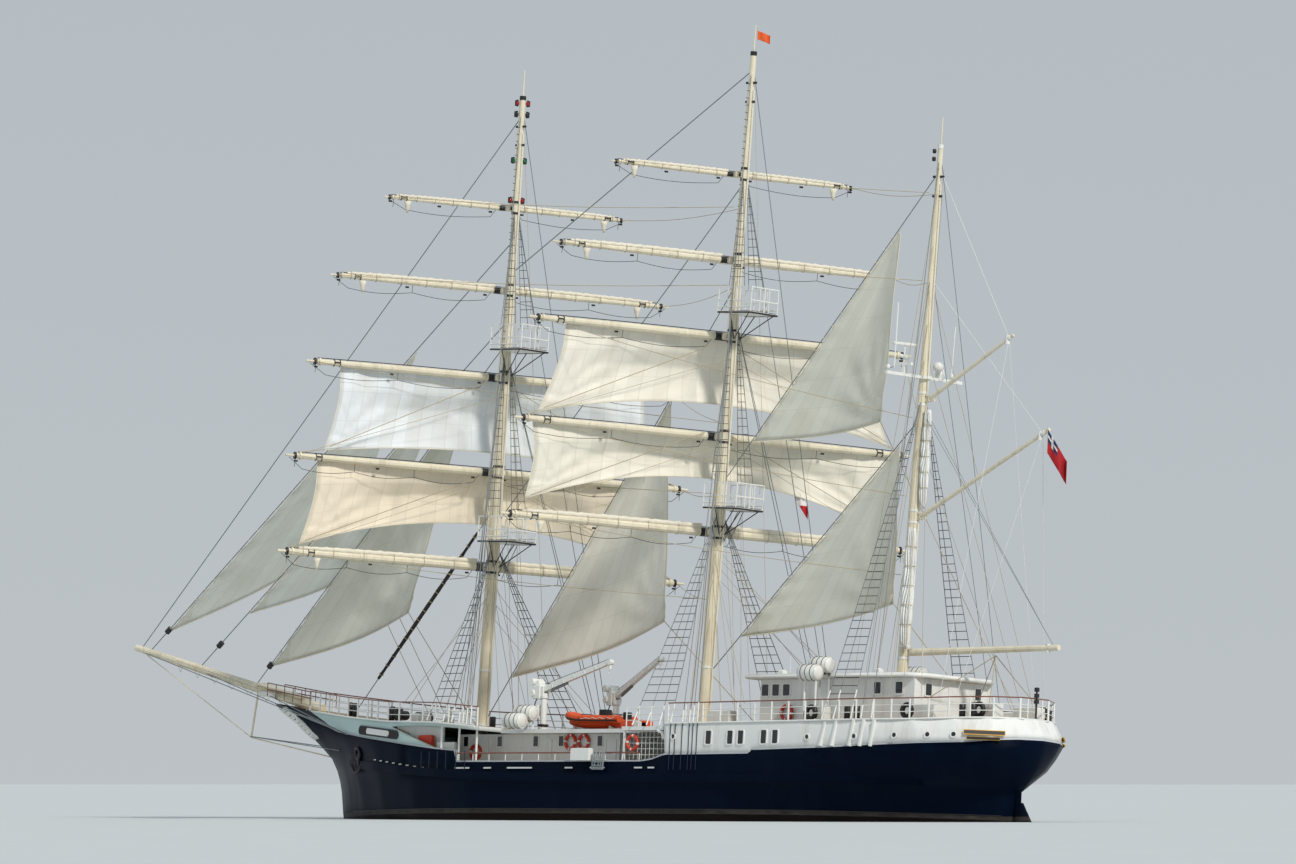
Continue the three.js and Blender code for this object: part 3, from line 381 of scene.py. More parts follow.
def plain_finish(name, colour, worn, roughness, metallic=0.0, grain=14.0, bump=0.08, streak=0.35, coat=0.0):
    """A paint or bare material with streaks of dirt and a slightly uneven surface."""
    material, tree, where = start_material(name)
    place = where["Object"]
    base = tint(tree, linear(colour), weathering(tree, place, 2.2), streak, worn)
    fine = add(tree, "TexNoise", {"Vector": place, "Scale": grain, "Detail": 5.0})
    rough = add(tree, "MapRange", {"Value": fine, 3: roughness * 0.8, 4: min(1.0, roughness * 1.25)})
    shader = {"Roughness": rough, "Metallic": metallic, "Coat Weight": coat}
    close_material(tree, tint(tree, base, fine, 0.16, worn), shader, fine, bump, 0.006)
    return material


def paint_height(tree, along):
    """Height of the topsides' upper edge at a place along the ship, read from a ramp."""
    aft, tallest = PAINT_LINE[0][0], 10
    length = PAINT_LINE[-1][0] - aft
    share = add(tree, "Math", {0: add(tree, "Math", {0: along, 1: -aft * K}, operation="ADD"), 1: length * K},
                operation="DIVIDE")
    ramp = add(tree, "ValToRGB", {0: share})
    points = ramp.node.color_ramp.elements
    for x, _ in PAINT_LINE[1:-1]:
        points.new((x - aft) / length)
    for point, (_, z) in zip(points, PAINT_LINE):
        point.color = [z / tallest] * 3 + [1]
    return add(tree, "Math", {0: ramp, 1: tallest * K}, operation="MULTIPLY")


def hull_enamel(colours):
    """Gloss alkyd enamel on plating: dark topsides, a thin line at their top, and a weathered boot-top."""
    material, tree, where = start_material("hull gloss enamel")
    place = where["Object"]
    axes = add(tree, "SeparateXYZ", {0: place}).node.outputs
    facing = add(tree, "SeparateXYZ", {0: where["Normal"]}).node.outputs
    streaks = weathering(tree, place, 1.6)
    plating = add(tree, "TexNoise", {"Vector": place, "Scale": 0.9, "Detail": 4.0})
    navy = tint(tree, linear(colours.topsides), streaks, 0.25, "#14212F")
    navy = tint(tree, navy, plating, 0.22, "#050A16")
    below = add(tree, "Math", {0: paint_height(tree, axes[0]), 1: axes[2]}, operation="SUBTRACT")
    topsides = add(tree, "Mix", {0: add(tree, "Math", {0: below, 1: TOP_LINE * K}, operation="LESS_THAN"),
                                 6: navy, 7: linear(colours.top_line)}, 2, data_type="RGBA")
    ragged = add(tree, "TexNoise", {"Vector": place, "Scale": 3.0, "Detail": 6.0})
    edge = add(tree, "Math", {0: axes[2], 1: add(tree, "Math", {0: add(tree, "Math", {0: ragged, 1: 0.5},
                                                                       operation="SUBTRACT"), 1: 0.05},
                                                 operation="MULTIPLY")}, operation="ADD")
    growth = add(tree, "Mix", {0: ragged, 6: linear(colours.boot_top), 7: linear("#201D1E")}, 2,
                 data_type="RGBA")
    painted = add(tree, "Mix", {0: add(tree, "Math", {0: edge, 1: BOOT_TOP * K}, operation="LESS_THAN"),
                                6: topsides, 7: growth}, 2, data_type="RGBA")
    painted = add(tree, "Mix", {0: add(tree, "Math", {0: edge, 1: WET_LINE * K}, operation="LESS_THAN"),
                                6: painted, 7: linear("#1A1413")}, 2, data_type="RGBA")
    inboard = add(tree, "Math", {0: add(tree, "Math", {0: axes[1], 1: facing[1]}, operation="MULTIPLY"),
                                 1: -0.2}, operation="LESS_THAN")
    inside = add(tree, "Mix", {0: inboard, 6: painted, 7: linear(colours.white)}, 2, data_type="RGBA")
    up = add(tree, "Math", {0: facing[2], 1: 0.9}, operation="GREATER_THAN")
    up = add(tree, "Math", {0: up, 1: add(tree, "Math", {0: axes[2], 1: 1.9 * K}, operation="GREATER_THAN")},
             operation="MULTIPLY")
    deck = add(tree, "Math", {0: up, 1: add(tree, "Math", {0: axes[2], 1: 2.6 * K}, operation="LESS_THAN")},
               operation="MULTIPLY")
    wave = {"Vector": place, "Scale": 0.35, "Distortion": 0.4}
    welds = add(tree, "Math", {0: add(tree, "TexWave", wave, 1, bands_direction="X"), 1: 0.5},
                operation="MULTIPLY")
    height = add(tree, "Math", {0: plating, 1: welds}, operation="ADD")
    shader = {"Roughness": add(tree, "MapRange", {"Value": streaks, 3: 0.3, 4: 0.5}),
              "Specular IOR Level": 0.035}
    close_material(tree, add(tree, "Mix", {0: deck, 6: inside, 7: deck_planks(tree, place)}, 2,
                             data_type="RGBA"), shader, height, 0.14, 0.02, rounding=0.5)
    return material


def deck_planks(tree, place):
    """Scrubbed teak laid fore and aft in 150 mm strakes with dark caulked seams."""
    bricks = add(tree, "TexBrick", {
        "Vector": place, "Color1": linear("#B39A78"), "Color2": linear("#9C8362"),
                                    "Mortar": linear("#2F2822"),
        "Scale": 1.0, "Mortar Size": 0.006, "Brick Width": 2.4, "Row Height": 0.15 * K, "Bias": -0.1})
    drawn = add(tree, "Mapping", {"Vector": place, "Scale": (1.5, 28, 1)})
    grain = add(tree, "TexNoise", {"Vector": drawn, "Scale": 3.0, "Detail": 5.0})
    return tint(tree, bricks, grain, 0.35, "#7C684E")


def deck_and_side_enamel(name, colour, worn, planked=True, rounding=0.0, stem=None):
    """White enamel on the sides, teak or grey deck paint on top. stem is the colour of the bow's corner, and
    with it the white turns grey-green forward: painted shade and a painted sea reflection.
    """
    material, tree, where = start_material(name)
    place = where["Object"]
    fine = add(tree, "TexNoise", {"Vector": place, "Scale": 5.0, "Detail": 5.0})
    white = tint(tree, linear(colour), weathering(tree, place, 2.6), 0.45, worn)
    white = tint(tree, white, fine, 0.14, "#B9BDB9")
    shader = {"Roughness": 0.42}
    if stem:
        shader["Specular IOR Level"] = 0.12
        axes = add(tree, "SeparateXYZ", {0: place}).node.outputs
        ahead = add(tree, "Math", {0: add(tree, "Math", {0: axes[0], 1: 0.41}, operation="MULTIPLY"),
                                   1: axes[2]}, operation="SUBTRACT")
        # Painted shade and a painted sea-green reflection: the white turns grey-green between x = 9 m and 14
        # m, and stays so forward of that.
        bow_shade_share = add(tree, "Math", {0: add(tree, "Math", {0: axes[0], 1: 9.0 * K}, operation="SUBTRACT"),
                                     1: 0.2 / K}, operation="MULTIPLY", use_clamp=True)
        white = add(tree, "Mix", {0: bow_shade_share, 6: white, 7: linear("#B9CFCB")}, 2, data_type="RGBA")
        white = add(tree, "Mix", {0: add(tree, "Math", {0: ahead, 1: 5.17 * K}, operation="GREATER_THAN"),
                                  6: white, 7: linear(stem)}, 2, data_type="RGBA")
    top = deck_planks(tree, place) if planked else add(tree, "Mix",
                                                       {0: fine, 6: linear("#C9C9C2"), 7: linear("#A9AAA3")},
                                                       2, data_type="RGBA")
    facing_up = add(tree, "SeparateXYZ", {0: where["Normal"]}, 2)
    up = add(tree, "Math", {0: facing_up, 1: 0.85}, operation="GREATER_THAN")
    close_material(tree, add(tree, "Mix", {0: up, 6: white, 7: top}, 2, data_type="RGBA"), shader, fine, 0.08,
                   0.008, rounding=rounding)
    return material


def spar_enamel(colours):
    """Cream polyurethane enamel on steel tube, with grime drawn down it."""
    material, tree, where = start_material("spar cream enamel")
    place = where["Object"]
    grime = add(tree, "TexNoise", {"Vector": place, "Scale": 2.0, "Detail": 7.0, "Roughness": 0.6})
    base = tint(tree, linear(colours.spars), add(tree, "MapRange", {"Value": grime, 1: 0.45, 2: 0.75}), 0.5,
                "#C4B89C")
    base = tint(tree, base, weathering(tree, place, 6.0, (1, 1, 0.06)), 0.5, "#8B7F66")
    close_material(tree, base, {"Roughness": 0.42}, grime, 0.1, 0.006)
    return material


def sailcloth(name, colour, cloths, rows, patch=True):
    """Woven polyester canvas: sewn panels, lightly creased with painted shade in the creases, doubled along
    the edges and corners.
    """
    material, tree, where = start_material(name)
    uv = cloth_shares(tree)
    along = add(tree, "Math", {0: uv[0], 1: float(cloths)}, operation="MULTIPLY")
    panel_tone = add(tree, "TexWhiteNoise", {"W": add(tree, "Math", {0: along}, operation="FLOOR")},
                     noise_dimensions="1D")
    seam = add(tree, "Math", {0: add(tree, "Math", {0: along}, operation="FRACT"), 1: 0.07},
               operation="LESS_THAN")
    upwards = add(tree, "Math", {0: uv[1], 1: float(rows)}, operation="MULTIPLY")
    reef = add(tree, "Math", {0: add(tree, "Math", {0: upwards}, operation="FRACT"), 1: 0.035},
               operation="LESS_THAN")
    lines = add(tree, "Math", {0: seam, 1: add(tree, "Math", {0: reef, 1: 0.8}, operation="MULTIPLY")},
                operation="MAXIMUM")
    side, end = (add(tree, "Math", {0: share, 1: add(tree, "Math", {0: 1.0, 1: share}, operation="SUBTRACT")},
                     operation="MINIMUM") for share in uv[:2])
    hem = add(tree, "Math", {0: add(tree, "Math", {0: side, 1: end}, operation="MINIMUM"), 1: 0.012},
              operation="LESS_THAN")
    corner = add(tree, "Math", {0: add(tree, "Math", {0: side, 1: end}, operation="ADD"),
                                1: 0.11 if patch else 0.0}, operation="LESS_THAN")
    creases = add(tree, "TexNoise",
                  {"Vector": where["Object"], "Scale": 0.7, "Detail": 5.0, "Distortion": 0.8})
    base = tint(tree, linear(colour), panel_tone, 0.16, "#B4AF9C")
    # Painted shade: the canvas is darker where the crease noise is high.
    base = tint(tree, base, add(tree, "MapRange", {"Value": creases, 1: 0.5, 2: 0.8}), 0.3, "#A69F88")
    base = tint(tree, base, lines, 0.13, "#8F8A78")
    base = tint(tree, base, add(tree, "Math", {0: hem, 1: corner}, operation="MAXIMUM"), 0.16, "#9A937E")
    base = tint(tree, base, add(tree, "TexNoise", {"Vector": where["Object"], "Scale": 26.0, "Detail": 3.0}),
                0.08, "#8F8A78")
    height = add(tree, "Math",
                 {0: add(tree, "Math", {0: creases, 1: 1.2}, operation="MULTIPLY"),
                  1: add(tree, "Math", {0: lines, 1: 0.12}, operation="MULTIPLY")}, operation="ADD")
    close_material(tree, base, {"Roughness": 0.88, "Sheen Weight": 0.25}, height, 0.32, 0.05)
    return material


def flag_cloth():
    """Red bunting with a dark square in its upper hoist corner, crossed by pale bands."""
    material, tree, where = start_material("red bunting")
    u, v = cloth_shares(tree)[:2]
    hoist = add(tree, "Math",
                {0: add(tree, "Math", {0: u, 1: 0.5}, operation="LESS_THAN"),
                 1: add(tree, "Math", {0: v, 1: 0.5}, operation="GREATER_THAN")}, operation="MULTIPLY")
    cross = add(tree, "Math", {0: near(tree, u, 0.25, 0.05), 1: near(tree, v, 0.75, 0.05)},
                operation="MAXIMUM")
    corner = add(tree, "Mix", {0: cross, 6: linear("#1C2A55"), 7: linear("#D8D3CB")}, 2, data_type="RGBA")
    creases = add(tree, "TexNoise", {"Vector": where["Object"], "Scale": 9.0, "Detail": 3.0})
    # Painted shade: the red is darker where the crease noise is high.
    red = add(tree, "Mix", {0: creases, 6: linear("#B3141C"), 7: linear("#8E1018")}, 2, data_type="RGBA")
    close_material(tree, add(tree, "Mix", {0: hoist, 6: red, 7: corner}, 2, data_type="RGBA"),
                   {"Roughness": 0.85}, creases, 0.3, 0.01)
    return material


def signal_bunting():
    """White bunting with its lower fly corner red."""
    material, tree, _ = start_material("white and red bunting")
    u, v = cloth_shares(tree)[:2]
    slant = add(tree, "Math", {0: u, 1: add(tree, "Math", {0: v, 1: 0.7}, operation="MULTIPLY")},
                operation="SUBTRACT")
    corner = add(tree, "Math", {0: slant, 1: 0.3}, operation="GREATER_THAN")
    close_material(tree, add(tree, "Mix", {0: corner, 6: linear("#E6E1DC"), 7: linear("#B8202C")}, 2,
                             data_type="RGBA"), {"Roughness": 0.85})
    return material


FINISH = {}


def mix_finishes(colours):
    """Every finish of the ship, named for what it is."""
    white = colours.white
    FINISH.update({
        "hull": hull_enamel(colours),
        "house": deck_and_side_enamel("deckhouse white enamel", white, "#A79C88"),
        # The bulwark's white takes painted shade and a painted sea reflection towards the bow.
        "bulwark": deck_and_side_enamel("bulwark white enamel", white, "#A2957F", rounding=0.2,
                                        stem=colours.topsides),
        "roof": deck_and_side_enamel("roof white enamel", white, "#A79C88", planked=False),
        "spar": spar_enamel(colours),
        # Brushed gloss enamel: clean white with soft highlights
        "white": plain_finish("fittings white enamel", "#E9EAE6", "#B9B3A4", 0.38, streak=0.3),
        # Hot-dipped galvanised wire rope: dull grey with darker lay
        "wire": plain_finish("galvanised wire rope", "#8A9092", "#5A5F61", 0.5, 0.6, grain=60.0),
        # Tarred hemp: nearly black, matt
        "tarred": plain_finish("tarred hemp", "#2E2A27", "#171615", 0.8, grain=60.0),
        # Manila and polyester rope: straw-coloured, matt
        "rope": plain_finish("manila rope", "#B9AB8D", "#85795F", 0.85, grain=60.0),
        # Varnished teak: red-brown with a clear coat
        "teak": plain_finish("varnished teak", "#7A3B1E", "#4A2212", 0.32, grain=18.0, coat=0.5),
        # Blackened forged iron: dark with a low gloss
        "iron": plain_finish("black painted iron", "#17191B", "#3A2E26", 0.42),
        "glass": plain_finish("tinted window glass", "#10161B", "#1C262C", 0.08, streak=0.1, bump=0.0,
                              coat=0.6),
        "orange": plain_finish("orange glassfibre", colours.orange, "#A8431A", 0.45),
        "red": plain_finish("lifebuoy red", "#CF3B22", "#A32B18", 0.5),
        "canister": plain_finish("raft canister gelcoat", "#E8E8E3", "#B5B0A2", 0.35, coat=0.3),
        "bronze": plain_finish("cast bronze", "#A88443", "#5E5A34", 0.35, 1.0),
        "gold": plain_finish("gilded carving", "#C79A3A", "#8A6A26", 0.4, 0.7),
        "furled": plain_finish("furled canvas", "#E4DDCB", "#B8AE97", 0.9, grain=9.0, bump=0.5),
        "flag": flag_cloth(),
        "pennant": plain_finish("orange bunting", "#E0602A", "#A8351E", 0.85),
        "signal": signal_bunting(),
        "lamp_red": plain_finish("red lamp glass", "#A3161A", "#6A0E12", 0.15),
        "lamp_green": plain_finish("green lamp glass", "#0F6B3F", "#0A4529", 0.15),
        "navy": plain_finish("navy enamel", "#0E1830", "#27303F", 0.35),
    })


# Making pieces


def clear_selection():
    if bpy.context.object and bpy.context.object.mode != "OBJECT":
        bpy.ops.object.mode_set(mode="OBJECT")
    bpy.ops.object.select_all(action="DESELECT")


def choose(made):
    clear_selection()
    made.select_set(True)
    bpy.context.view_layer.objects.active = made


def pick(made, test, kind="FACE"):
    """Selects the faces or edges that pass the test, and leaves the piece in edit mode."""
    choose(made)
    bpy.ops.object.mode_set(mode="EDIT")
    bpy.ops.mesh.select_mode(type=kind)
    bpy.ops.mesh.select_all(action="DESELECT")
    bpy.ops.object.mode_set(mode="OBJECT")
    for item in (made.data.polygons if kind == "FACE" else made.data.edges):
        item.select = test(item)
    bpy.ops.object.mode_set(mode="EDIT")


def shaped():
    bpy.ops.object.mode_set(mode="OBJECT")


def settle(made, name, finishes, body="ship"):
    """Names a piece, gives it its finishes and lets it ride on its body."""
    made.name = made.data.name = name
    for i, finish in enumerate(finishes):
        if i < len(made.data.materials):
            made.data.materials[i] = FINISH[finish]
        else:
            made.data.materials.append(FINISH[finish])
    if body:
        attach(made, body)
    return made


def apply_all(made):
    choose(made)
    for modifier in list(made.modifiers):
        bpy.ops.object.modifier_apply(modifier=modifier.name)


def bars(name, runs, radius, finish, body="ship", sides=0, closed=False, swell=None):
    """Round bars or ropes along runs of points, all in one mesh."""
    curve = bpy.data.curves.new(name, "CURVE")
    curve.dimensions = "3D"
    curve.bevel_depth = radius * K
    curve.bevel_resolution = sides
    curve.use_fill_caps = True
    for run in runs:
        spline = curve.splines.new("POLY")
        spline.points.add(len(run) - 1)
        spline.use_cyclic_u = closed
        for i, (point, place) in enumerate(zip(spline.points, run)):
            point.co = (*(Vector(place) * K), 1.0)
            if swell:
                point.radius = swell(i / max(1, len(run) - 1))
    made = bpy.data.objects.new(name, curve)
    bpy.context.scene.collection.objects.link(made)
    choose(made)
    bpy.ops.object.convert(target="MESH")
    made = bpy.context.object
    if sides:
        bpy.ops.object.shade_smooth_by_angle(angle=math.radians(50))
    return settle(made, name, [finish], body)


def stamp(template, name, places, finishes, body="ship"):
    """Copies of a template at each place, as one mesh of their own."""
    points, faces, numbers, smooth = [], [], [], []
    for place in places:
        start = len(points)
        points += [(place @ vertex.co) * K for vertex in template.data.vertices]
        for face in template.data.polygons:
            faces.append([start + i for i in face.vertices])
            numbers.append(face.material_index)
            smooth.append(face.use_smooth)
    mesh = bpy.data.meshes.new(name)
    mesh.from_pydata(points, [], faces)
    made = bpy.data.objects.new(name, mesh)
    bpy.context.scene.collection.objects.link(made)
    for finish in finishes:
        mesh.materials.append(FINISH[finish])
    for face, number, rounded in zip(mesh.polygons, numbers, smooth):
        face.material_index = min(number, len(finishes) - 1)
        face.use_smooth = rounded
    return settle(made, name, finishes, body)


def drop(template):
    bpy.data.objects.remove(template, do_unlink=True)


def stamp_each(template, *rows):
    """Stamps a template for each row of name, places and finishes, then removes it."""
    for row in rows:
        stamp(template, *row)
    drop(template)


def add_shape(kind, **settings):
    """One of the basic meshes, with its place, turn and size applied."""
    clear_selection()
    getattr(bpy.ops.mesh, f"primitive_{kind}_add")(**settings)
    bpy.ops.object.transform_apply(location=True, rotation=True, scale=True)
    return bpy.context.object


def runs_along(made, axis):
    """Test for edges that run along one axis."""
    def test(edge):
        a, b = (made.data.vertices[i].co for i in edge.vertices)
        step = b - a
        return abs(step[axis]) > 0.98 * step.length
    return test


def sink_picked(thickness, move):
    """Insets the picked faces and draws the middle in or out."""
    bpy.ops.mesh.inset(thickness=thickness, depth=0)
    bpy.ops.mesh.extrude_region_move(TRANSFORM_OT_translate={"value": move})


def second_finish(made):
    """Gives the picked faces the piece's second finish."""
    made.active_material_index = 1
    bpy.ops.object.material_slot_assign()
    shaped()


def two_slots(made):
    for _ in range(2):
        made.data.materials.append(None)


def panel(width, height, depth=0.06, corner=0.1, rim=0.06, sink=0.03):
    """A framed, rounded pane: local x wide, z high, and y outwards. The pane takes the second finish."""
    made = add_shape("cube", size=1, scale=(width, depth, height))
    pick(made, runs_along(made, 1), "EDGE")
    bpy.ops.mesh.bevel(offset=corner, segments=3, affect="EDGES")
    shaped()
    two_slots(made)
    pick(made, lambda face: face.normal.y > 0.9)
    sink_picked(rim, (0, -sink, 0))
    second_finish(made)
    return made


def block_shape(size, corner=0.04, inset=0.0, raised=0.0):
    """A box with softened edges and, where asked, a raised or sunk top."""
    made = add_shape("cube", size=1, location=(0, 0, size[2] / 2), scale=size)
    if inset:
        pick(made, lambda face: face.normal.z > 0.9)
        sink_picked(inset, (0, 0, raised))
        shaped()
    choose(made)
    bevel = made.modifiers.new("edges", "BEVEL")
    bevel.width, bevel.segments, bevel.limit_method = corner, 2, "ANGLE"
    apply_all(made)
    return made


def ring_shape(major, minor, around=24, sides=8):
    """A ring that lies in local x and z, with four bands in the second finish."""
    made = add_shape("torus", major_radius=major, minor_radius=minor, major_segments=around,
                     minor_segments=sides,
                     rotation=(math.radians(90), 0, 0))
    two_slots(made)
    pick(made, lambda face: (math.degrees(math.atan2(face.center.z, face.center.x)) % 90) < 14)
    second_finish(made)
    bpy.ops.object.shade_smooth()
    return made


def drum_shape(radius, length, crown=0.12, sides=28):
    """A round canister along local x, with domed ends."""
    made = add_shape("cylinder", vertices=sides, radius=radius, depth=length - 2 * crown,
                     rotation=(0, math.radians(90), 0))
    for sign in SIDES:
        pick(made, lambda face: face.normal.x * sign > 0.9)
        for inset, step in ((0.16, 0.55), (0.3, 0.3), (0.3, 0.15)):
            bpy.ops.mesh.inset(thickness=radius * inset, depth=0)
            bpy.ops.transform.translate(value=(sign * crown * step, 0, 0))
        shaped()
    bpy.ops.object.shade_smooth_by_angle(angle=math.radians(40))
    return made


def arc(start, end, sag, steps=8):
    """A slack run between two points."""
    return [start.lerp(end, i / steps) - UP * (sag * math.sin(math.pi * i / steps)) for i in range(steps + 1)]


def ring_round(centre, axis, radius, sides=8):
    """Points of a ring round an axis."""
    first = axis.orthogonal().normalized()
    second = axis.cross(first).normalized()
    angles = row(0, 2 * math.pi / sides, sides)
    return [centre + (first * math.cos(a) + second * math.sin(a)) * radius for a in angles]


# The ship's pieces

def paint_solids():
    """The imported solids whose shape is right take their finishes."""
    for finish, names in SOLIDS.items():
        for name in names:
            NODES[name].data.materials.clear()
            NODES[name].data.materials.append(FINISH[finish])


def fit_hull():
    """Windows, ports, plates, mouldings and anchors on the ship's sides."""
    stamp_each(panel(0.52, 0.82, 0.05, 0.13, 0.07),
               ("poop_windows", on_sides(POOP_WINDOWS, 0.01), ["white", "glass"]))
    stamp_each(panel(0.36, 0.36, 0.05, 0.17),
               ("poop_portholes", on_sides(POOP_PORTHOLES, 0.01), ["white", "glass"]))
    ports = [scaled(on_side(x, 2.42, s, 0.005), width) for x, width in FREEING_PORTS for s in SIDES]
    scuppers = [scaled(on_side(x, height_on(PAINT_LINE, x) - 1.15, s, 0.005), 0.32, 1, 0.7)
                for x in row(12.0, 0.7, 11) for s in SIDES]
    stamp_each(panel(1.0, 0.11, 0.03, 0.04, 0.015, 0.012), ("freeing_ports", ports, ["navy", "canister"]),
               ("bow_scuppers", scuppers, ["navy", "house"]))
    cheeks = [place @ Matrix.Rotation(math.radians(-5), 4, "Y") for place in on_sides([(18.7, 4.42)], 0.005)]
    holes = [scaled(cheek @ Matrix.Translation((0, 0.05, 0)), 0.56, 1, 0.62) for cheek in cheeks]
    stamp_each(panel(4.6, 0.5, 0.06, 0.24, 0.05, 0.01), ("bow_fairlead_cheeks", cheeks, ["navy", "tarred"]),
               ("bow_fairleads", holes, ["canister", "canister"]))
    lower = [scaled(place, 0.8, 1, 0.6) for place in on_sides([(-23.25, 3.98)], 0.02)]
    stamp_each(panel(2.1, 0.26, 0.05, 0.05, 0.03, 0.015),
               ("stern_plaques", on_sides([(-23.25, 4.27)], 0.02), ["gold", "iron"]),
               ("stern_lower_plaques", lower, ["gold", "iron"]))
    ribs = []
    for side in SIDES:
        for x in (-4.09, -4.42, -4.91, -5.39, -5.65, -5.95):
            ribs.append([at_side(x, 2.3, side, 0.02, 3.2), at_side(x, 4.68, side, 0.03, 4.6)])
        for x in (14.2, 13.5, 12.8, 12.1, 11.3, 10.6):
            ribs.append([at_side(x, 2.1, side, 0.03, 2.2), at_side(x, 3.3, side, 0.05)])
    bars("chain_plates", ribs, 0.03, "navy")
    splay = math.radians(9)
    knees = [on_side(x, 3.48, s, 0.02) @ Matrix.Rotation(splay, 4, "X") @ Matrix.Rotation(-s * splay, 4, "Y")
             for x in (-14.4, -15.14, -16.26, -16.9, -17.54) for s in SIDES]
    stamp_each(block_shape((0.16, 0.2, 1.35), 0.03), ("channel_knees", knees, ["white"]))
    fit_bow_carving()
    fit_rail_gear()
    stamp_each(ring_shape(0.3, 0.09, 20), ("hawse_rims", on_sides([(21.2, 3.35)], 0.03), ["iron", "iron"]))
    anchors = []
    for side in SIDES:
        y = side * (breadth(21.2, 2.8) + 0.2)
        shank = ((21.0, 0.0, 3.35), (21.1, 0.1, 2.55))
        flukes = ((20.75, 0.0, 2.8), (21.0, 0.05, 2.37), (21.4, 0.12, 2.33), (21.8, 0.22, 2.75))
        anchors += [[(x, y - side * inwards, z) for x, inwards, z in run] for run in (shank, flukes)]
    bars("anchors", anchors, 0.09, "iron", sides=2)
    bead = [[at_side(x, 0.29, s, 0.005, 0.3) for x in row(-22.3, 1.5, 31)] for s in SIDES]
    bars("boot_top_bead", bead, 0.03, "iron")
    sheer = []
    for side in SIDES:
        for line, aft, fore in ((POOP_TOP, -24.0, -3.7), (FORECASTLE_TOP, 10.0, 27.2)):
            sheer.append([at_side(x, height_on(line, x) - 0.04, side, 0.02)
                          for x in row(aft, (fore - aft) / 36, 37)])
    bars("sheer_mouldings", sheer, 0.05, "white", sides=1)


def stem_at(z):
    """x of the stem's edge at a height."""
    return height_on([(level[0], level[2]) for level in HULL_LEVELS], z)


def fit_bow_carving():
    """White scrollwork that curls down along the stem under the bowsprit."""
    curls = []
    for side in SIDES:
        for level in row(5.85, -0.2, 8):
            turn = []
            for i in range(17):
                angle, radius = i / 16 * 1.35 * 2 * math.pi, 0.27 - 0.013 * i
                x = stem_at(level) - 0.42 + 1.2 * radius * math.cos(angle + 0.6)
                turn.append(at_side(x, level + 0.75 * radius * math.sin(angle + 0.6), side, 0.08))
            curls.append(turn)
        for back in (0.12, 0.8):
            curls.append([at_side(stem_at(z) - back, z, side, 0.04) for z in row(6.05, -0.17, 11)])
    bars("stem_scrollwork", curls, 0.08, "canister", sides=1)


def fit_rail_gear():
    """A folded boarding ladder and a locker at the waist rail."""
    for side, word in WORDS:
        hook = ((4.95, 3.2), (5.42, 3.22), (5.47, 2.8), (5.49, 2.3))
        ladder = [[(x, side * y, z) for y, z in hook] for x in (1.15, 0.98, 0.72, 0.55, 0.4)]
        ladder += [[(x, side * 5.49, z) for x in (1.15, 0.4)] for z in (2.34, 2.52, 2.7)]
        bars(f"{word}_boarding_ladder", ladder, 0.045, "wire", sides=1)
    chests = [upright(2.0, s * 5.42, 2.78) for s in SIDES]
    stamp_each(block_shape((1.3, 0.34, 0.62), 0.04, 0.05, 0.02), ("waist_rail_chests", chests, ["white"]))


def fit_houses():
    """Windows, doors, lifebuoys and ventilators on the deckhouses."""
    bridge = on_walls([(x, 2.77, 6.52) for x in (-8.25, -8.97, -9.7)])
    bridge += [upright(-7.88, y, 6.52, -90) for y in row(-2.1, 0.7, 7)]
    bridge += on_walls([(x, 2.97, 6.56) for x in (-16.05, -17.5)])
    bridge += [upright(-18.52, y, 6.52, 90) for y in (-1.9, 1.9)]
    stamp_each(panel(0.6, 0.72, 0.05, 0.12, 0.07), ("wheelhouse_windows", bridge, ["white", "glass"]))
    waist = on_walls([(x, 2.92, 3.96) for x in (12.9, 10.4, 7.75, 5.9, 3.1)])
    stamp_each(panel(0.44, 0.62, 0.05, 0.08, 0.05), ("deckhouse_windows", waist, ["white", "glass"]))
    doors = on_walls([(x, 2.92, 3.15) for x in (6.95, 11.6, 2.3)])
    doors += [upright(1.69, 0.0, 3.15, 90), upright(-18.52, 0.0, 5.95, 90)]
    doors += [upright(-3.44, y, 3.15, -90) for y in (1.9, -1.9)]
    stamp_each(panel(0.75, 1.85, sink=0.02), ("doors", doors, ["white", "house"]))
    buoys = on_walls([(5.15, 3.02, 3.9), (4.2, 3.02, 3.9), (-1.2, 5.02, 3.72), (-9.85, 2.86, 5.36),
                      (12.1, 2.99, 3.4)])
    stamp_each(ring_shape(0.36, 0.085), ("lifebuoys", buoys, ["red", "canister"]))
    corners = ((-18.83, -2.48), (-18.83, 2.48), (-18.26, 3.22), (-7.37, 3.22), (-7.37, -3.22),
               (-18.26, -3.22))
    bars("roof_edge", [[(x, y, 7.19) for x, y in corners]], 0.125, "white", sides=2, closed=True)
    vents = [scaled(upright(x, y, ROOF), 0.7, 0.7, 0.6)
             for x, y in ((-8.6, 1.9), (-9.5, 0.4), (-10.4, 1.2), (-15.4, 2.2))]
    vents += [upright(x, y, 4.55) for x, y in ((1.0, 2.2), (1.0, -2.2), (3.0, -2.8))]
    vents += [on_deck(x, y) for x, y in ((18.4, 1.2), (18.4, -1.2), (21.0, 0.0), (16.6, 2.4))]
    stamp_each(block_shape((0.5, 0.5, 0.45), 0.08, 0.1, 0.08), ("vent_boxes", vents, ["white"]))
    fit_deck_gear()
    fit_passages()
    aerials = ((-9.0, -0.6, 9.2), (-8.3, 1.0, 8.4), (-17.6, 1.4, 8.8))
    bars("roof_aerials", [[(x, y, ROOF - 0.05), (x, y, top)] for x, y, top in aerials], 0.022, "white")
    covers = [upright(-16.0, -0.7, ROOF), upright(-15.0, -1.9, ROOF)]
    stamp_each(block_shape((2.6, 0.6, 0.16), 0.05), ("roof_covers", covers, ["pennant"]))


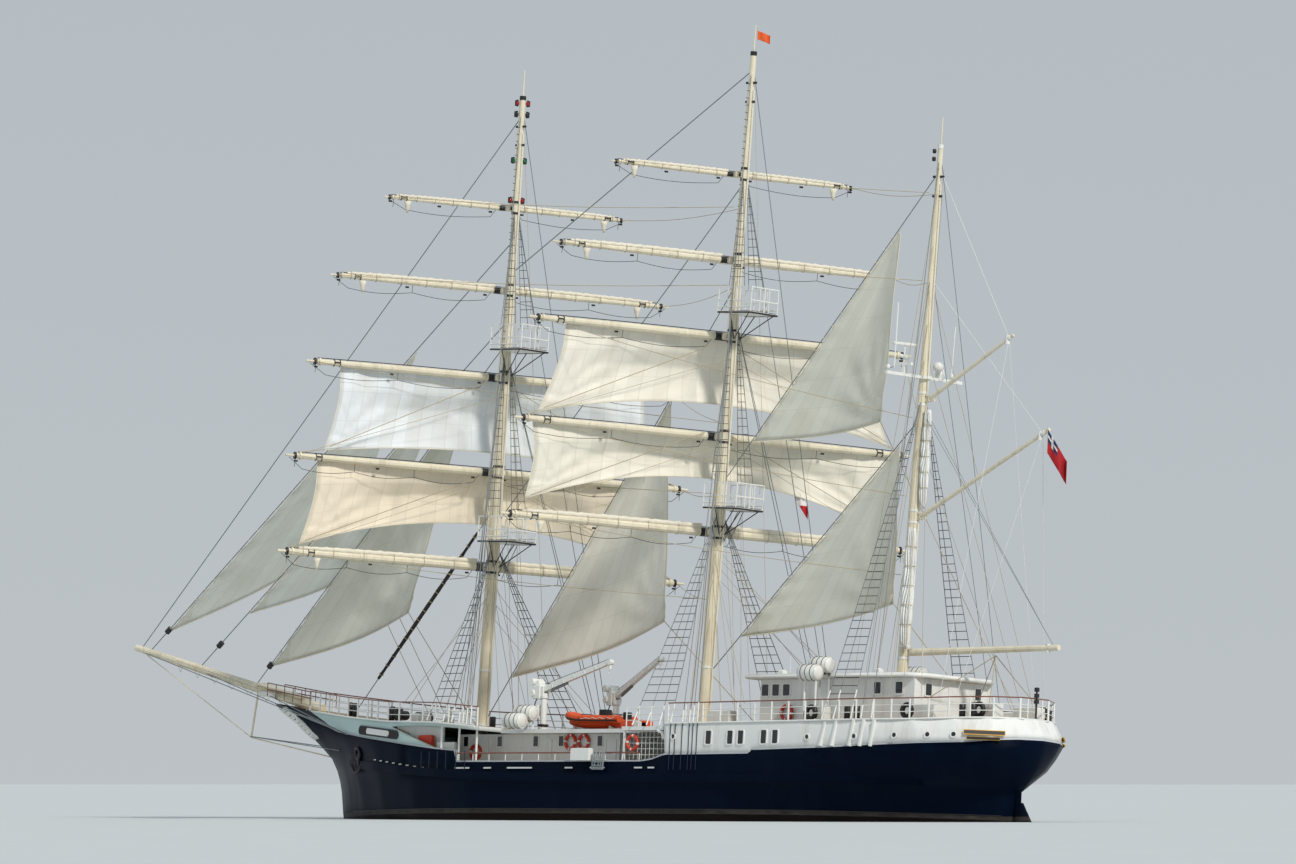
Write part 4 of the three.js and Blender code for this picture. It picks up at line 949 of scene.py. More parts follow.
def fit_deck_gear():
    """Lockers, bitts, fenders, the windlass and the stern's lamps on the open decks."""
    lockers = [on_deck(x, s * y) for x, y in ((-19.6, 3.2), (-22.2, 1.6), (-12.6, 3.75), (-5.0, 2.4))
               for s in SIDES]
    lockers += [upright(x, s * y, MAIN_DECK) for x, y in ((1.2, 4.3), (14.0, 4.1)) for s in SIDES]
    stamp_each(block_shape((1.5, 0.7, 0.75), 0.05, 0.06, 0.03), ("deck_lockers", lockers, ["white"]))
    bitts = [on_deck(x, side * y, 0.36) @ ON_END for side in SIDES for x, y in BITTS]
    drums = [scaled(upright(20.0, y, height_on(FORECASTLE_TOP, 20.0) + 0.35, 90), 1.5, 1.6, 1.6)
             for y in (0.9, -0.9)]
    stamp_each(drum_shape(0.16, 0.75, 0.04, 14), ("mooring_bitts", bitts, ["iron"]),
               ("windlass_drums", drums, ["iron"]))
    tyres = [on_deck(x, s * y, 0.4) for x, y in ((-19.2, 4.25), (-22.4, 2.5), (-13.0, 4.5)) for s in SIDES]
    stamp_each(ring_shape(0.3, 0.13), ("fender_tyres", tyres, ["iron", "tarred"]))
    bars("stern_lamp_post", [[(-24.02, 0.0, 5.1), (-24.02, 0.0, 6.72)]], 0.05, "iron", sides=1)
    bars("stern_lamps", [[(-24.02, 0.0, z), (-24.02, 0.0, z + 0.2)] for z in (5.9, 6.2, 6.5)], 0.13, "iron",
         sides=3)
    canvas = [(31.6, 0.25, 6.86), (30.9, 0.3, 6.82), (30.2, 0.35, 6.72)]
    bars("bowsprit_canvas_roll", [canvas], 0.17, "canister", sides=3)
    posts = [[(x, s * 4.5, height_on(POOP_TOP, x)), (x, s * 4.5, 6.95)] for x in (-12.5, -13.25)
             for s in SIDES]
    bars("raft_rack_posts", posts, 0.06, "white", sides=1)


def fit_passages():
    """White linings, red boxes and chests in the passages beside the forecastle's house."""
    linings = [scaled(upright(15.3, s * 3.95, 3.1), 3.5, 0.5, 2.4) for s in SIDES]
    boxes = [upright(14.5, s * 4.3, 3.5) for s in SIDES]
    chests = [scaled(upright(12.9, s * 4.35, 3.3), 1.3, 0.8, 0.75) for s in SIDES]
    stamp_each(block_shape((1.0, 0.24, 0.7), 0.04, 0.06, 0.02), ("passage_lining", linings, ["canister"]),
               ("passage_fire_boxes", boxes, ["red"]), ("passage_chests", chests, ["canister"]))


def railing(names, runs, height, radii, rods=(0.35, 0.68), cap="teak"):
    """Stanchions, rods and a handrail over each run of feet, in the order of the names and the radii."""
    posts, lines, handrail = names
    bars(posts, [[foot, foot + UP * height] for run in runs for foot in run], radii[0], "white", sides=1)
    bars(lines, [[foot + UP * up for foot in run] for run in runs for up in rods], radii[1], "white")
    bars(handrail, [[foot + UP * (height + 0.03) for foot in run] for run in runs], radii[2], cap, sides=1)


def fit_rails():
    """White stanchions and rods under handrails, round the decks and the waist, and the bowsprit's rail."""
    inset = 0.12
    for name, line, aft, fore, count, crowding in (("poop", POOP_TOP, -23.9, -3.75, 20, 1.15),
                                                   ("forecastle", FORECASTLE_TOP, 9.95, 27.0, 16, 1.0)):
        runs = []
        for side in SIDES:
            xs = [aft + (fore - aft) * (i / (count - 1)) ** crowding for i in range(count)]
            feet = [(x, height_on(line, x)) for x in xs]
            runs.append([Vector((x, side * max(0.3, breadth(x, z) - inset), z - 0.02)) for x, z in feet])
        railing((f"{name}_stanchions", f"{name}_rods", f"{name}_handrails"), runs, 1.0, (0.05, 0.022, 0.036))
    y = breadth(-23.9, 5.1) - inset
    stern = [Vector((-23.9 - 0.08 * (1 - abs(s)), s * y, 5.12)) for s in (-1, -0.5, 0, 0.5, 1)]
    railing(("taffrail_stanchions", "taffrail_rods", "taffrail"), [stern], 1.0, (0.04, 0.022, 0.036))
    waist = [[Vector(at_side(x, 2.8, side, -0.09)) for x in row(-1.9, 1.2, 12)] for side in SIDES]
    bars("waist_rail_posts", [[p, p + UP * 0.36] for run in waist for p in run], 0.03, "white")
    bars("waist_handrails", [[p + UP * 0.4 for p in run] for run in waist], 0.042, "teak", sides=1)
    upper = [[Vector((x, side * 5.0, 4.54)) for x in row(-3.3, 2.6 / 3, 4)] for side in SIDES]
    railing([f"upper_deck_{word}" for word in ("stanchions", "rods", "handrails")], upper, 0.95,
            (0.035, 0.02, 0.026),
            (0.33, 0.64), "white")
    posts = [[(x, s * 4.86, MAIN_DECK), (x, s * 4.86, height_on(FORECASTLE_TOP, x) - 0.2)]
             for x in (10.2, 11.5, 12.8) for s in SIDES]
    bars("waist_pillars", posts, 0.06, "white", sides=1)
    grille = [[(x, s * 4.94, 2.86), (x, s * 4.94, 4.34)] for x in row(-0.95, -0.28, 9) for s in SIDES]
    grille += [[(-0.8, s * 4.94, z), (-3.4, s * 4.94, z)] for z in row(3.1, 0.3, 5) for s in SIDES]
    bars("waist_grilles", grille, 0.016, "white")
    corners = [[(-3.0, s * 5.05, 4.34), (-3.3, s * 5.05, 4.22), (-3.42, s * 5.05, 3.9)] for s in SIDES]
    bars("waist_arch_corners", corners, 0.09, "white", sides=1)
    net = []
    for side in SIDES:
        rail = [Vector((26.9 + i * 0.75, side * (1.0 - 0.07 * i), 6.85 + 0.11 * i)) for i in range(6)]
        net += [[p - UP * 0.75, p] for p in rail]
        net += [rail, [p - UP * 0.35 for p in rail]]
    bars("bowsprit_rail", net, 0.03, "teak")


def fit_masts():
    """Hoops, bands, masthead gear, sail tracks and rungs on the masts."""
    for key, (_, _, _, foot, truck) in MASTS.items():
        metal = "white" if key == "mizzen" else "iron"
        for z in [spar[0] for spar in SPARS.values()] if key == "mizzen" else [yard[1]
                                                                               for yard in YARDS[key]]:
            hoops = [mast_band(key, z + d, -0.06, 0.06) for d in (-0.3, 0.3)]
            bars(f"{key}_truss_hoop_{round(z)}", hoops, mast_radius(key, z) + 0.03, metal, sides=3)
        for z in () if key == "mizzen" else (foot + 2.9, foot + 5.8):
            band = mast_band(key, z, 0, 0.12)
            bars(f"{key}_fife_band_{round(z)}", [band], mast_radius(key, z) + 0.03, "white", sides=3)
        cap = mast_band(key, truck, -0.16, 0.05)
        bars(f"{key}_masthead_cap", [cap], mast_radius(key, truck) + 0.02, metal, sides=3)
        crosses = [mast_run(key, (-x, 0, truck - down), (x, 0, truck - down)) for x,
                   down in ((0.35, 1.6), (0.3, 2.6))]
        bars(f"{key}_masthead_gear", crosses, 0.07, "iron", sides=1)
        track = [(-mast_radius(key, z) - 0.05, 0, z) for z in (foot + 3, foot + 10, foot + 18, truck - 2)]
        bars(f"{key}_mast_track", [mast_run(key, *track)], 0.05, "furled", sides=1)
        low, high = {"fore": (25.4, truck - 1), "main": (26.7, truck - 1), "mizzen": (9.4, 15.0)}[key]
        rungs = []
        for z in row(low, 0.38, int((high - low) / 0.38)):
            r = mast_radius(key, z)
            rungs.append(mast_run(key, (-0.05, r * 0.8, z), (-0.05, r + 0.2, z), (-0.05, r + 0.2, z + 0.02)))
        bars(f"{key}_mast_rungs", rungs, 0.018, "iron")
    light_masts()
    fit_tops()


def light_masts():
    """Lamps and their guards, the aerials' domes and the radars' scanners on the masts."""
    lamp = drum_shape(0.1, 0.24, 0.05, 14)
    for name, z, finish in (("upper", 38.5, "lamp_red"), ("middle", 37.9, "iron"),
                            ("lower", 35.4, "lamp_green"),
                            ("yard", 33.25, "lamp_red")):
        out = mast_radius("fore", z) + 0.12
        seats = [(0.55 * side * out, 0.85 * side * out) for side in SIDES]
        stamp(lamp, f"masthead_{name}_lamp", [on_end("fore", x, y, z) for x, y in seats], [finish])
        guards = [mast_run("fore", (x, y, z + d), (x, y, z + d + 0.05)) for x, y in seats
                  for d in (-0.17, 0.13)]
        rims = [(0.68 * side * out, 1.06 * side * out) for side in SIDES]
        guards += [mast_run("fore", (x, y, z - 0.15), (x, y, z + 0.15)) for x, y in rims]
        bars(f"masthead_{name}_lamp_guards", guards, 0.07, "iron", sides=2)
    working = [on_end("mizzen", 0.35, y, 22.9) for y in (2.4, -2.5)]
    working += [on_end("fore", 0.42, 0, 16.6), on_end("main", 0.42, 0, 18.0)]
    stamp_each(lamp, ("working_lamps", working, ["canister"]),
               ("mizzen_masthead_lamps", [on_end("mizzen", 0.3, 0.12, z) for z in (33.75, 34.15)], ["iron"]))
    domes = [on_end("mizzen", -0.25, -0.75, 23.2), Matrix.Translation((-11.4, 1.6, 7.55)) @ ON_END]
    stamp_each(drum_shape(0.27, 0.5, 0.2, 20), ("aerial_domes", domes, ["canister"]))
    scanners = [Matrix.Translation(on_mast("mizzen", 0.55, 1.0, z)) @ Matrix.Rotation(turn, 4, "Z")
                for z, turn in ((23.45, 0.5), (24.1, -0.2))]
    stamp_each(block_shape((0.2, 1.5, 0.16), 0.05), ("radar_scanners", scanners, ["canister"]))
    stalks = [mast_run("mizzen", (x, y, 22.9), (x, lean, top))
              for x, y, lean,
              top in ((0.55, 1.0, 1.0, 24.15), (0.1, 2.2, 2.25, 26.2), (0.1, -2.2, -2.25, 25.4))]
    bars("crosstree_aerials", stalks, 0.035, "white", sides=1)


def fit_tops():
    """Gratings, edges, brackets and rails of the four tops."""
    for (key, name), z in TOPS.items():
        grating = [mast_run(key, (x, -1.0, z + 0.1), (x, 1.0, z + 0.1)) for x in row(-2.0, 0.16, 10)]
        bars(f"{key}_{name}_top_grating", grating, 0.035, "iron")
        edges = [mast_run(key, (-2.1, -1.04, z + 0.02), (-2.1, 1.04, z + 0.02))]
        edges += [mast_run(key, (-2.1, s * 1.04, z + 0.02), (0.2, s * 1.04, z + 0.02)) for s in SIDES]
        bars(f"{key}_{name}_top_edges", edges, 0.05, "iron")
        brackets = [mast_run(key, (-0.3, s * 0.2, z - 1.3), (x, s * 0.95, z)) for s in SIDES
                    for x in (-1.9, -0.6)]
        bars(f"{key}_{name}_top_brackets", brackets, 0.028, "iron", sides=1)
        uprights = [(x, s * 1.02) for s in SIDES for x in (-1.3, -0.4)] + [(-2.07, y) for y in (-0.35, 0.35)]
        rods = [mast_run(key, (x, y, z + 0.1), (x, y, z + 1.35)) for x, y in uprights]
        rods += [mast_run(key, (-2.07, s * 1.02, z + 0.3), (0.2, s * 1.02, z + 0.3)) for s in SIDES]
        bars(f"{key}_{name}_top_infill", rods, 0.032, "canister")


def body_of_yard(key, name):
    return f"{key}_lower_yards" if name in ("course", "lower_topsail",
                                            "upper_topsail") else f"{key}_{name}_yard"


def fit_yards():
    """Jackstays, footropes, bands and furled canvas on every yard."""
    bunch = add_shape("cone", vertices=14, radius1=0.05, radius2=0.2, depth=0.62, location=(0, 0, -0.28))
    pick(bunch, lambda edge: True, "EDGE")
    bpy.ops.mesh.subdivide(number_cuts=2, fractal=0.25, seed=3)
    shaped()
    bpy.ops.object.shade_smooth()
    for key, yards in YARDS.items():
        for name, z, half, radius in yards:
            fit_yard(key, name, z, half, radius)
            if name in FURLED:
                furl_sail(key, name, z, half, radius, FURLED[name])
                clews = [Matrix.Translation(on_yard(key, -0.1, s * half * 0.81, z - radius - 0.05))
                         for s in SIDES]
                stamp(bunch, f"{key}_{name}_hanging_clews", clews, ["furled"], body_of_yard(key, name))
    drop(bunch)


def yard_radius(y, half, radius):
    """Radius of a yard at a distance from its middle: straight, then tapered to its end."""
    straight = 0.45 * half
    return radius * (1.0 - 0.28 * max(0.0, abs(y) - straight) / (half - straight))


def fit_yard(key, name, z, half, radius):
    """One yard's jackstay, footropes and ironwork."""
    def put(part, runs, thickness, finish, sides=0):
        bars(f"{key}_{name}_{part}", runs, thickness, finish, body_of_yard(key, name), sides)

    def across(y, reach, x=0.0, up=0.0):
        return yard_run(key, (x, y - reach, z + up), (x, y + reach, z + up))

    jackstay = [(0.05, y, z + yard_radius(y, half, radius) + 0.05)
                for y in row(-half * 0.94, half * 0.094, 21)]
    put("jackstay", [yard_run(key, *jackstay)], 0.022, "iron")
    hung, stirrups = [], []
    low, spans = z - radius - 0.4, int((half - 1.2) / 3.4)
    for side in SIDES:
        run = [(-0.05, side * 0.6, z - radius * 0.9)]
        for inner in row(0.9, (half - 1.4) / spans, spans):
            outer = inner + (half - 1.4) / spans
            for j in range(8):
                y = inner + (outer - inner) * j / 8
                run.append((-0.08, side * y, low - 0.2 * math.sin(math.pi * j / 8)))
            under = z - yard_radius(outer, half, radius)
            stirrups.append(yard_run(key, (-0.12, side * outer, under), (-0.08, side * outer, low)))
        hung.append(yard_run(key, *run, (0, side * (half - 0.2), z - 0.1)))
    put("footropes", hung, 0.014, "tarred")
    put("stirrups", stirrups, 0.014, "tarred")
    put("bands", [across(y * half, 0.05) for y in (-0.93, -0.6, -0.3, 0.3, 0.6, 0.93)], radius * 1.03, "spar",
        3)
    thick = yard_radius(half * 0.84, half, radius)
    irons = [across(s * (half * 0.84 + d), 0.02) for s in SIDES for d in (-0.16, 0.16)]
    irons += [across(s * half * 0.955, 0.05) for s in SIDES]
    put("yardarm_irons", irons, thick + 0.035, "iron", 2)
    links = [across(s * half * 0.84, 0.16, x, 0.04) for s in SIDES for x in (-thick - 0.03, thick + 0.03)]
    put("yardarm_links", links, 0.035, "iron", 1)
    put("sling_band", [across(0, 0.42)], radius * 1.08, "iron", 3)
    seats = (-half * 0.95, -half * 0.55, -0.9, 0.9, half * 0.55, half * 0.95)
    put("blocks", [across(y, 0.09, -0.05, -yard_radius(y, half, radius) - 0.13) for y in seats], 0.055,
        "tarred", 1)


def furl_sail(key, name, z, half, radius, thick):
    """A sail furled in two uneven rolls on top of its yard, with its gaskets."""
    def lumps(share):
        waves = (0.96 + 0.04 * math.sin(share * 61)) * (0.97 + 0.03 * math.cos(share * 140))
        return (0.6 + 0.4 * min(1, (1 - share) * 5)) * waves

    body, steps, rolls, loops = body_of_yard(key, name), 46, [], []
    for side in SIDES:
        rolls.append([])
        for i in range(steps + 1):
            top = z + yard_radius(half * i / steps, half, radius) + thick * 0.45
            y = 0.35 + (half * 0.9 - 0.35) * i / steps
            rolls[-1].append(on_yard(key, -0.02 + 0.02 * math.sin(i * 1.7), side * y,
                                     top + 0.02 * math.sin(i * 2.3)))
    bars(f"{key}_{name}_furled_sail", rolls, thick, "furled", body, sides=2, swell=lumps)
    for y in row(-half * 0.88, half * 0.88 / 6, 13):
        if abs(y) > 0.5:
            deep = (yard_radius(y, half, radius) + 0.035) * 1.02
            tall, middle = yard_radius(y, half, radius) + thick * 0.8, z + thick * 0.45
            angles = row(0, math.pi / 5, 10)
            loops.append([on_yard(key, deep * math.cos(a), y, middle + tall * math.sin(a)) for a in angles])
    bars(f"{key}_{name}_gaskets", loops, 0.012, "rope", body, closed=True)


def shroud_foot(x, side):
    """Where a shroud is set up at the deck's edge."""
    z = deck_height(x) + (0.05 if x > 9.9 else 0.0)
    return Vector((x, side * (breadth(x, min(z, 4.8)) + 0.05), z))


def levels(low, high, step):
    """Heights from low to high, a step apart."""
    while low < high:
        yield low
        low += step


def rig_shrouds():
    """Shrouds with ratlines, backstays and their screws on each mast."""
    for key, (hounds, feet, backstays) in SHROUDS.items():
        shrouds, rungs, backs, screws = [], [], [], []
        for side in SIDES:
            top = on_mast(key, -0.1, side * mast_radius(key, hounds) * 0.9, hounds)
            lines = [(shroud_foot(x, side), top) for x in feet]
            shrouds += lines
            screws += [(foot, foot.lerp(top, 0.09)) for foot, top in lines]
            for z in levels(lines[0][0].z + 1.3, hounds - 0.9, sizes().ratline_step):
                rungs.append([foot.lerp(top, (z - foot.z) / (top.z - foot.z)) for foot, top in lines])
            for height, x in backstays:
                foot = shroud_foot(x, side)
                top = on_mast(key, -0.05, side * mast_radius(key, height) * 0.8, height)
                backs.append((foot, top))
                screws.append((foot, foot.lerp(top, 0.03)))
        bars(f"{key}_shrouds", shrouds, sizes().shroud, "wire")
        bars(f"{key}_ratlines", rungs, 0.018, "tarred")
        bars(f"{key}_backstays", backs, 0.02, "wire")
        bars(f"{key}_rigging_screws", screws, 0.038, "white", sides=1)


def rig_upper_shrouds():
    """Topmast and topgallant shrouds with ratlines, and the futtock shrouds under the lower tops."""
    for key, tier, low, high in (("fore", "topmast", 16.2, 24.9), ("main", "topmast", 17.6, 26.2),
                                 ("fore", "topgallant", 26.5, 32.6), ("main", "topgallant", 27.8, 33.5)):
        wide = {"topmast": 1.02, "topgallant": 0.75}[tier]
        shrouds, rungs = [], []
        for side in SIDES:
            top = on_mast(key, -0.08, side * mast_radius(key, high) * 0.8, high)
            lines = [(on_mast(key, x, side * wide, low), top) for x in (-0.2, -0.75, -1.3)]
            shrouds += lines
            for z in levels(low + 0.5, high - 0.7, sizes().ratline_step):
                rungs.append([foot.lerp(top, (z - low) / (high - low)) for foot, top in lines])
        bars(f"{key}_{tier}_shrouds", shrouds, 0.02, "wire")
        bars(f"{key}_{tier}_ratlines", rungs, 0.015, "tarred")
    futtocks = [mast_run(key, (x, s * 0.25, TOPS[key, "lower"] - 1.9), (x - 0.3, s * 1.0, TOPS[key, "lower"]))
                for key in YARDS for s in SIDES for x in (-0.1, -0.5)]
    bars("futtock_shrouds", futtocks, 0.022, "wire")


def rig_bowsprit():
    """The rolled fore staysail, and the bowsprit's guys and net."""
    low, high = on_stay("fore_stay", 7.6), on_stay("fore_stay", 15.4)
    bars("rolled_fore_staysail", [[low.lerp(high, i / 30) for i in range(31)]], 0.11, "tarred", sides=2,
         swell=lambda s: 0.5 + 0.5 * math.sin(math.pi * (0.12 + 0.8 * s)) + 0.06 * math.sin(s * 55))
    turns = [ring_round(low.lerp(high, (i + 0.5) / 16), (high - low).normalized(), 0.125) for i in range(16)]
    bars("fore_staysail_gaskets", turns, 0.016, "rope", closed=True)
    guys = []
    for side in SIDES:
        guys += [[(x, side * 0.12, on_bowsprit(x) - 0.1), at_side(22.4, 4.4, side, 0.03)]
                 for x in (41.4, 36.5, 32.0)]
        guys.append([(32.45, side * 0.05, 4.5), at_side(23.9, 3.6, side, 0.03)])
    bars("bowsprit_guys", guys, 0.024, "wire")
    frames = [(x, 0.95 - i * 0.09, on_bowsprit(x)) for i, x in enumerate(row(28.6, 1.4, 8))]
    net = [[(x, wide, z + 0.1), (x, 0.0, z - 0.55), (x, -wide, z + 0.1)] for x, wide, z in frames]
    for share in (-1, -0.5, 0.5, 1):
        net.append([(x, share * wide, z - 0.55 * (1 - abs(share)) + 0.1) for x, wide, z in frames])
    bars("bowsprit_net", net, 0.014, "rope")


def moving_line(name, fixed, end, radius, finish, sag=0.0, share=1.0):
    """A rope from the ship to a moving spar, sagging between the two."""
    fixed = Vector(fixed)
    made = bars(name, [arc(fixed, end, sag)], radius, finish, None)
    tuple(fixed.lerp(end, share) * K)
    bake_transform(made)


def rig_yards():
    """Braces of every yard, led to the mast behind, and lifts of the two lower ones."""
    leads = {"fore": ("main", (11.5, 17.0, 20.7, 27.9, 32.0)),
             "main": ("mizzen", (12.5, 16.5, 20.5, 27.5, 32.0))}
    rises = {"course": 4.6, "lower_topsail": 4.0}
    for key, (other, heights) in leads.items():
        for (name, z, half, _), lead in zip(YARDS[key], heights):
            for side, word in WORDS:
                tip = on_yard(key, -0.1, side * half * 0.96, z)
                start = on_mast(other, 0.3, side * 0.3, lead)
                moving_line(f"{key}_{name}_brace_{word}", start, tip, 0.016, "rope", 0.25)
                if name in rises:
                    start = on_mast(key, 0.1, side * 0.22, z + rises[name])
                    moving_line(f"{key}_{name}_lift_{word}", start, tip, 0.012, "rope", share=0.15)


def rig_falls():
    """Halyards and falls that come down to the deck and to the rails."""
    falls = []
    for key, (_, _, _, foot, truck) in MASTS.items():
        deck, step, first, wide = FALLS[key]
        first += on_mast(key, 0, 0, deck).x - 0.2
        heights = (foot + 9, foot + 14, foot + 18, foot + 22, foot + 26, truck - 2.5)
        for side in SIDES:
            for x, y, z in zip(row(first, step, 6), (0.7, 1.3, 1.0, 1.7, 0.9, 2.2), heights):
                falls.append([on_mast(key, -0.15, side * 0.2, z), (x, side * y * wide, deck)])
    bars("halyard_falls", falls, sizes().rope, "rope")
    outer = []
    for key, rows in SIDE_FALLS.items():
        for side in SIDES:
            for x, height in rows:
                start = on_mast(key, -0.1, side * 0.2, height)
                outer.append([start, (x, side * (breadth(x, 4.7) - 0.12), deck_height(x) + 0.9)])
    bars("side_falls", outer, sizes().rope, "rope")


def rig_sails():
    """Sheets, clewlines and buntlines of the square sails, and sheets of the staysails."""
    for key, name, clews, _, foot_half, *_ in SQUARE_SAILS:
        names = [yard[0] for yard in YARDS[key]]
        head = YARDS[key][names.index(name)]
        below = YARDS[key][names.index(name) - 1]
        runs = []
        for s in SIDES:
            runs.append(yard_run(key, (0, s * foot_half, clews + 0.04),
                                 (0, s * below[2] * 0.93, below[1] + below[3])))
            runs.append(yard_run(key, (-0.25, s * foot_half * 0.98, clews + 0.2),
                                 (-0.3, s * 0.7, clews + 4.3)))
        bars(f"{key}_{name}_sheets", runs, 0.02, "rope", body_of_yard(key, name))
        buntlines = []
        for y in (-6.6, -3.3, 3.3, 6.6):
            belly = 1.05 * (1 - (y / foot_half) ** 2) + 0.2
            run = [(belly, y, clews + (head[1] - clews) * share) for share in (0.35, 0.6, 0.85)]
            buntlines.append(yard_run(key, *run, (0.2, y, head[1])))
        bars(f"{key}_{name}_buntlines", buntlines, 0.012, "rope", body_of_yard(key, name))
    for (_, sail, _, _, clew, _, _), (x, y) in zip(STAYSAILS, SHEET_ENDS):
        bars(f"{sail}_sheet", [[clew, (x, y, deck_height(x))]], 0.02, "rope")


def rig_spars():
    """Sheets, vangs and lifts of the boom and the gaffs, and the fittings at their ends."""
    middle, end = on_spar("boom", 0.58) - UP * 0.3, on_spar("boom", 0.96, 0.15)
    for n, (x, y) in enumerate(((-17.4, 2.7), (-17.4, -2.7), (-22.9, 2.4), (-22.9, -2.4))):
        moving_line(f"boom_sheet_{n}", (x, y, 5.15), middle, 0.022, "rope")
    lower, upper = on_spar("lower_gaff", 0.95), on_spar("upper_gaff", 0.95)
    for side, word in WORDS:
        start = on_mast("mizzen", -0.25, side * 0.15, 20.8)
        moving_line(f"boom_topping_lift_{word}", start, end, 0.016, "wire", share=0.15)
        moving_line(f"lower_gaff_vang_{word}", (-21.6, side * 3.4, 5.9), lower, 0.013, "canister",
                    0.1)
        moving_line(f"upper_gaff_vang_{word}", (-20.8, side * 3.7, 5.9), upper, 0.012, "canister",
                    0.1)
    for gaff, x, z, tip, radius in (("upper_gaff", -0.22, 33.0, upper, 0.014),
                                    ("lower_gaff", -0.25, 27.4, lower, 0.012)):
        moving_line(f"{gaff}_lift", on_mast("mizzen", x, 0, z), tip, radius, "canister", share=0.15)
    for name in ("upper_gaff", "lower_gaff", "boom"):
        cap = [[on_spar(name, 0.945), on_spar(name, 0.965)],
               [on_spar(name, 0.93, 0.2), on_spar(name, 0.93, -0.24)]]
        bars(f"{name}_end_fittings", cap, 0.13, "canister", name, sides=2)


def cloth_grid(name, columns, rows, place, finish, body, thickness=0.006, **facts):
    """A sheet of cloth: place gives a full-size point for each share across and up."""
    made = add_shape("grid", x_subdivisions=columns, y_subdivisions=rows, size=2, calc_uvs=True)
    made.data.uv_layers[0].name = "cloth"
    for vertex in made.data.vertices:
        vertex.co = place((vertex.co.x + 1) / 2, (vertex.co.y + 1) / 2) * K
    made.data.update()
    bpy.ops.object.shade_smooth()
    solid = made.modifiers.new("thickness", "SOLIDIFY")
    solid.thickness, solid.offset = thickness, 0.0
    apply_all(made)
    made.data.materials.clear()
    settle(made, name, [finish], body)
    width, length = facts["flat"]
    return made


def spread(place, steps_across=20, steps_up=20):
    """Greatest width and height of a sheet, measured along it."""
    grid = [[place(i / steps_across, j / steps_up) * K for i in range(steps_across + 1)]
            for j in range(steps_up + 1)]
    return tuple(max(sum((a - b).length for a, b in zip(line, line[1:])) for line in lines) * 1.01
                 for lines in (grid, list(zip(*grid))))


def edge_of(place, up, across):
    """Points down one side of a sheet, along its foot and up the other side."""
    sides = [place(0, 1 - j / up) for j in range(up + 1)], [place(1, j / up) for j in range(1, up + 1)]
    return sides[0] + [place(i / across, 0) for i in range(1, across + 1)] + sides[1]


def set_square_sails():
    """Topsails set on their yards, each a bellied sheet with creases from its clews."""
    for key, name, clews, head_half, foot_half, arch, belly, colour in SQUARE_SAILS:
        _, z, _, radius = next(yard for yard in YARDS[key] if yard[0] == name)
        head = z + radius * 0.5

        def place(u, v):
            down, across = 1 - v, 2 * u - 1
            half = head_half + (foot_half - head_half) * down - 0.22 * math.sin(math.pi * down)
            middle = 1 - across * across
            x = belly * middle * math.sin(math.pi * (0.12 + 0.66 * down)) * (0.15 + 0.85 * min(1, down * 2))
            x += (radius + 0.03) * math.cos(min(1, down * 3.4) * math.pi / 2)
            for side in SIDES:
                out, up = (1 - side * across) * half, v * (head - clews)
                near_clew = math.exp(-((math.hypot(out, up) - 1.6) / 3.0) ** 2)
                x += 0.075 * math.sin(17 * math.atan2(up + 0.01, out + 0.01)) * near_clew
            x += 0.05 * math.sin(across * 27) * math.exp(-down * 5) + 0.03 * math.sin(across * 9 + down * 5)
            return on_yard(key, x, across * half, head + (clews + arch * middle - head) * down)

        cloth, body = f"{key}_{name}_cloth", body_of_yard(key, name)
        FINISH[cloth] = sailcloth(f"{key} {name} canvas", colour, 24, 3)
        rope = bars(f"{key}_{name}_boltrope", [edge_of(place, 20, 40)], 0.026, "furled", body, sides=1)
        sail = cloth_grid(f"{key}_{name}_sail", 56, 32, place, cloth, body, flat=spread(place), held="hung",
                          rests_on=[f"{key}_{name}_yard"], with_pieces=[rope])
        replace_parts(sail, f"{key}_{name}")


def on_stay(stay, z):
    x0, z0, key, height = STAYS[stay]
    upper = on_mast(key, 0, 0, height)
    return Vector((x0 + (upper.x - x0) * (z - z0) / (upper.z - z0), 0, z))


def set_staysails():
    """Jibs and staysails hanked to their stays, bellied to leeward, with slack leeches."""
    for stay, name, tack_z, head_z, clew, belly, colour in STAYSAILS:
        tack, head, clew = on_stay(stay, tack_z), on_stay(stay, head_z), Vector(clew)
        run = (head - tack).normalized()
        across = (clew - tack) - run * (clew - tack).dot(run)
        off = across.normalized() * 0.06

        def place(u, v):
            point = (tack.lerp(head, v) + off).lerp(clew.lerp(head, v * 0.975) + off, u)
            point.y -= belly * math.sin(math.pi * u) * (1 - v) ** 0.7
            point.z -= 0.15 * math.sin(math.pi * u) * (1 - v) ** 4
            near_clew = math.exp(-(((point - clew).length - 1.5) / 2.5) ** 2)
            point.y += 0.05 * math.sin(19 * math.atan2(v, 1.02 - u)) * near_clew
            point.y += 0.035 * math.sin(v * 62) * math.exp(-u * 9) + 0.03 * math.sin(u * 7 + v * 11)
            scallop = math.sin(v * 62) ** 2 if 0.01 < v < 0.97 else 0
            return point + off * (1.4 * scallop * math.exp(-u * 14))

        FINISH[name] = sailcloth(f"{name.replace('_', ' ')} canvas", colour, 11, 7)
        rope = bars(f"{name}_boltrope", [edge_of(place, 30, 20)], 0.024, "furled", sides=1)
        luff = (head - tack).length
        count = max(6, round(luff / 0.85))
        rings = [ring_round(tack.lerp(head, (i + 0.3) / count), run, 0.062) for i in range(count)]
        hanks = bars(f"{name}_hanks", rings, 0.014, "furled", closed=True)
        flat = across.length * K * 1.06, luff * K * 1.03
        sail = cloth_grid(f"{name}_sail", 26, 40, place, name, "ship", flat=flat, held="hung",
                          rests_on=[stay],
                          with_pieces=[rope, hanks])
        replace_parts(sail, name)


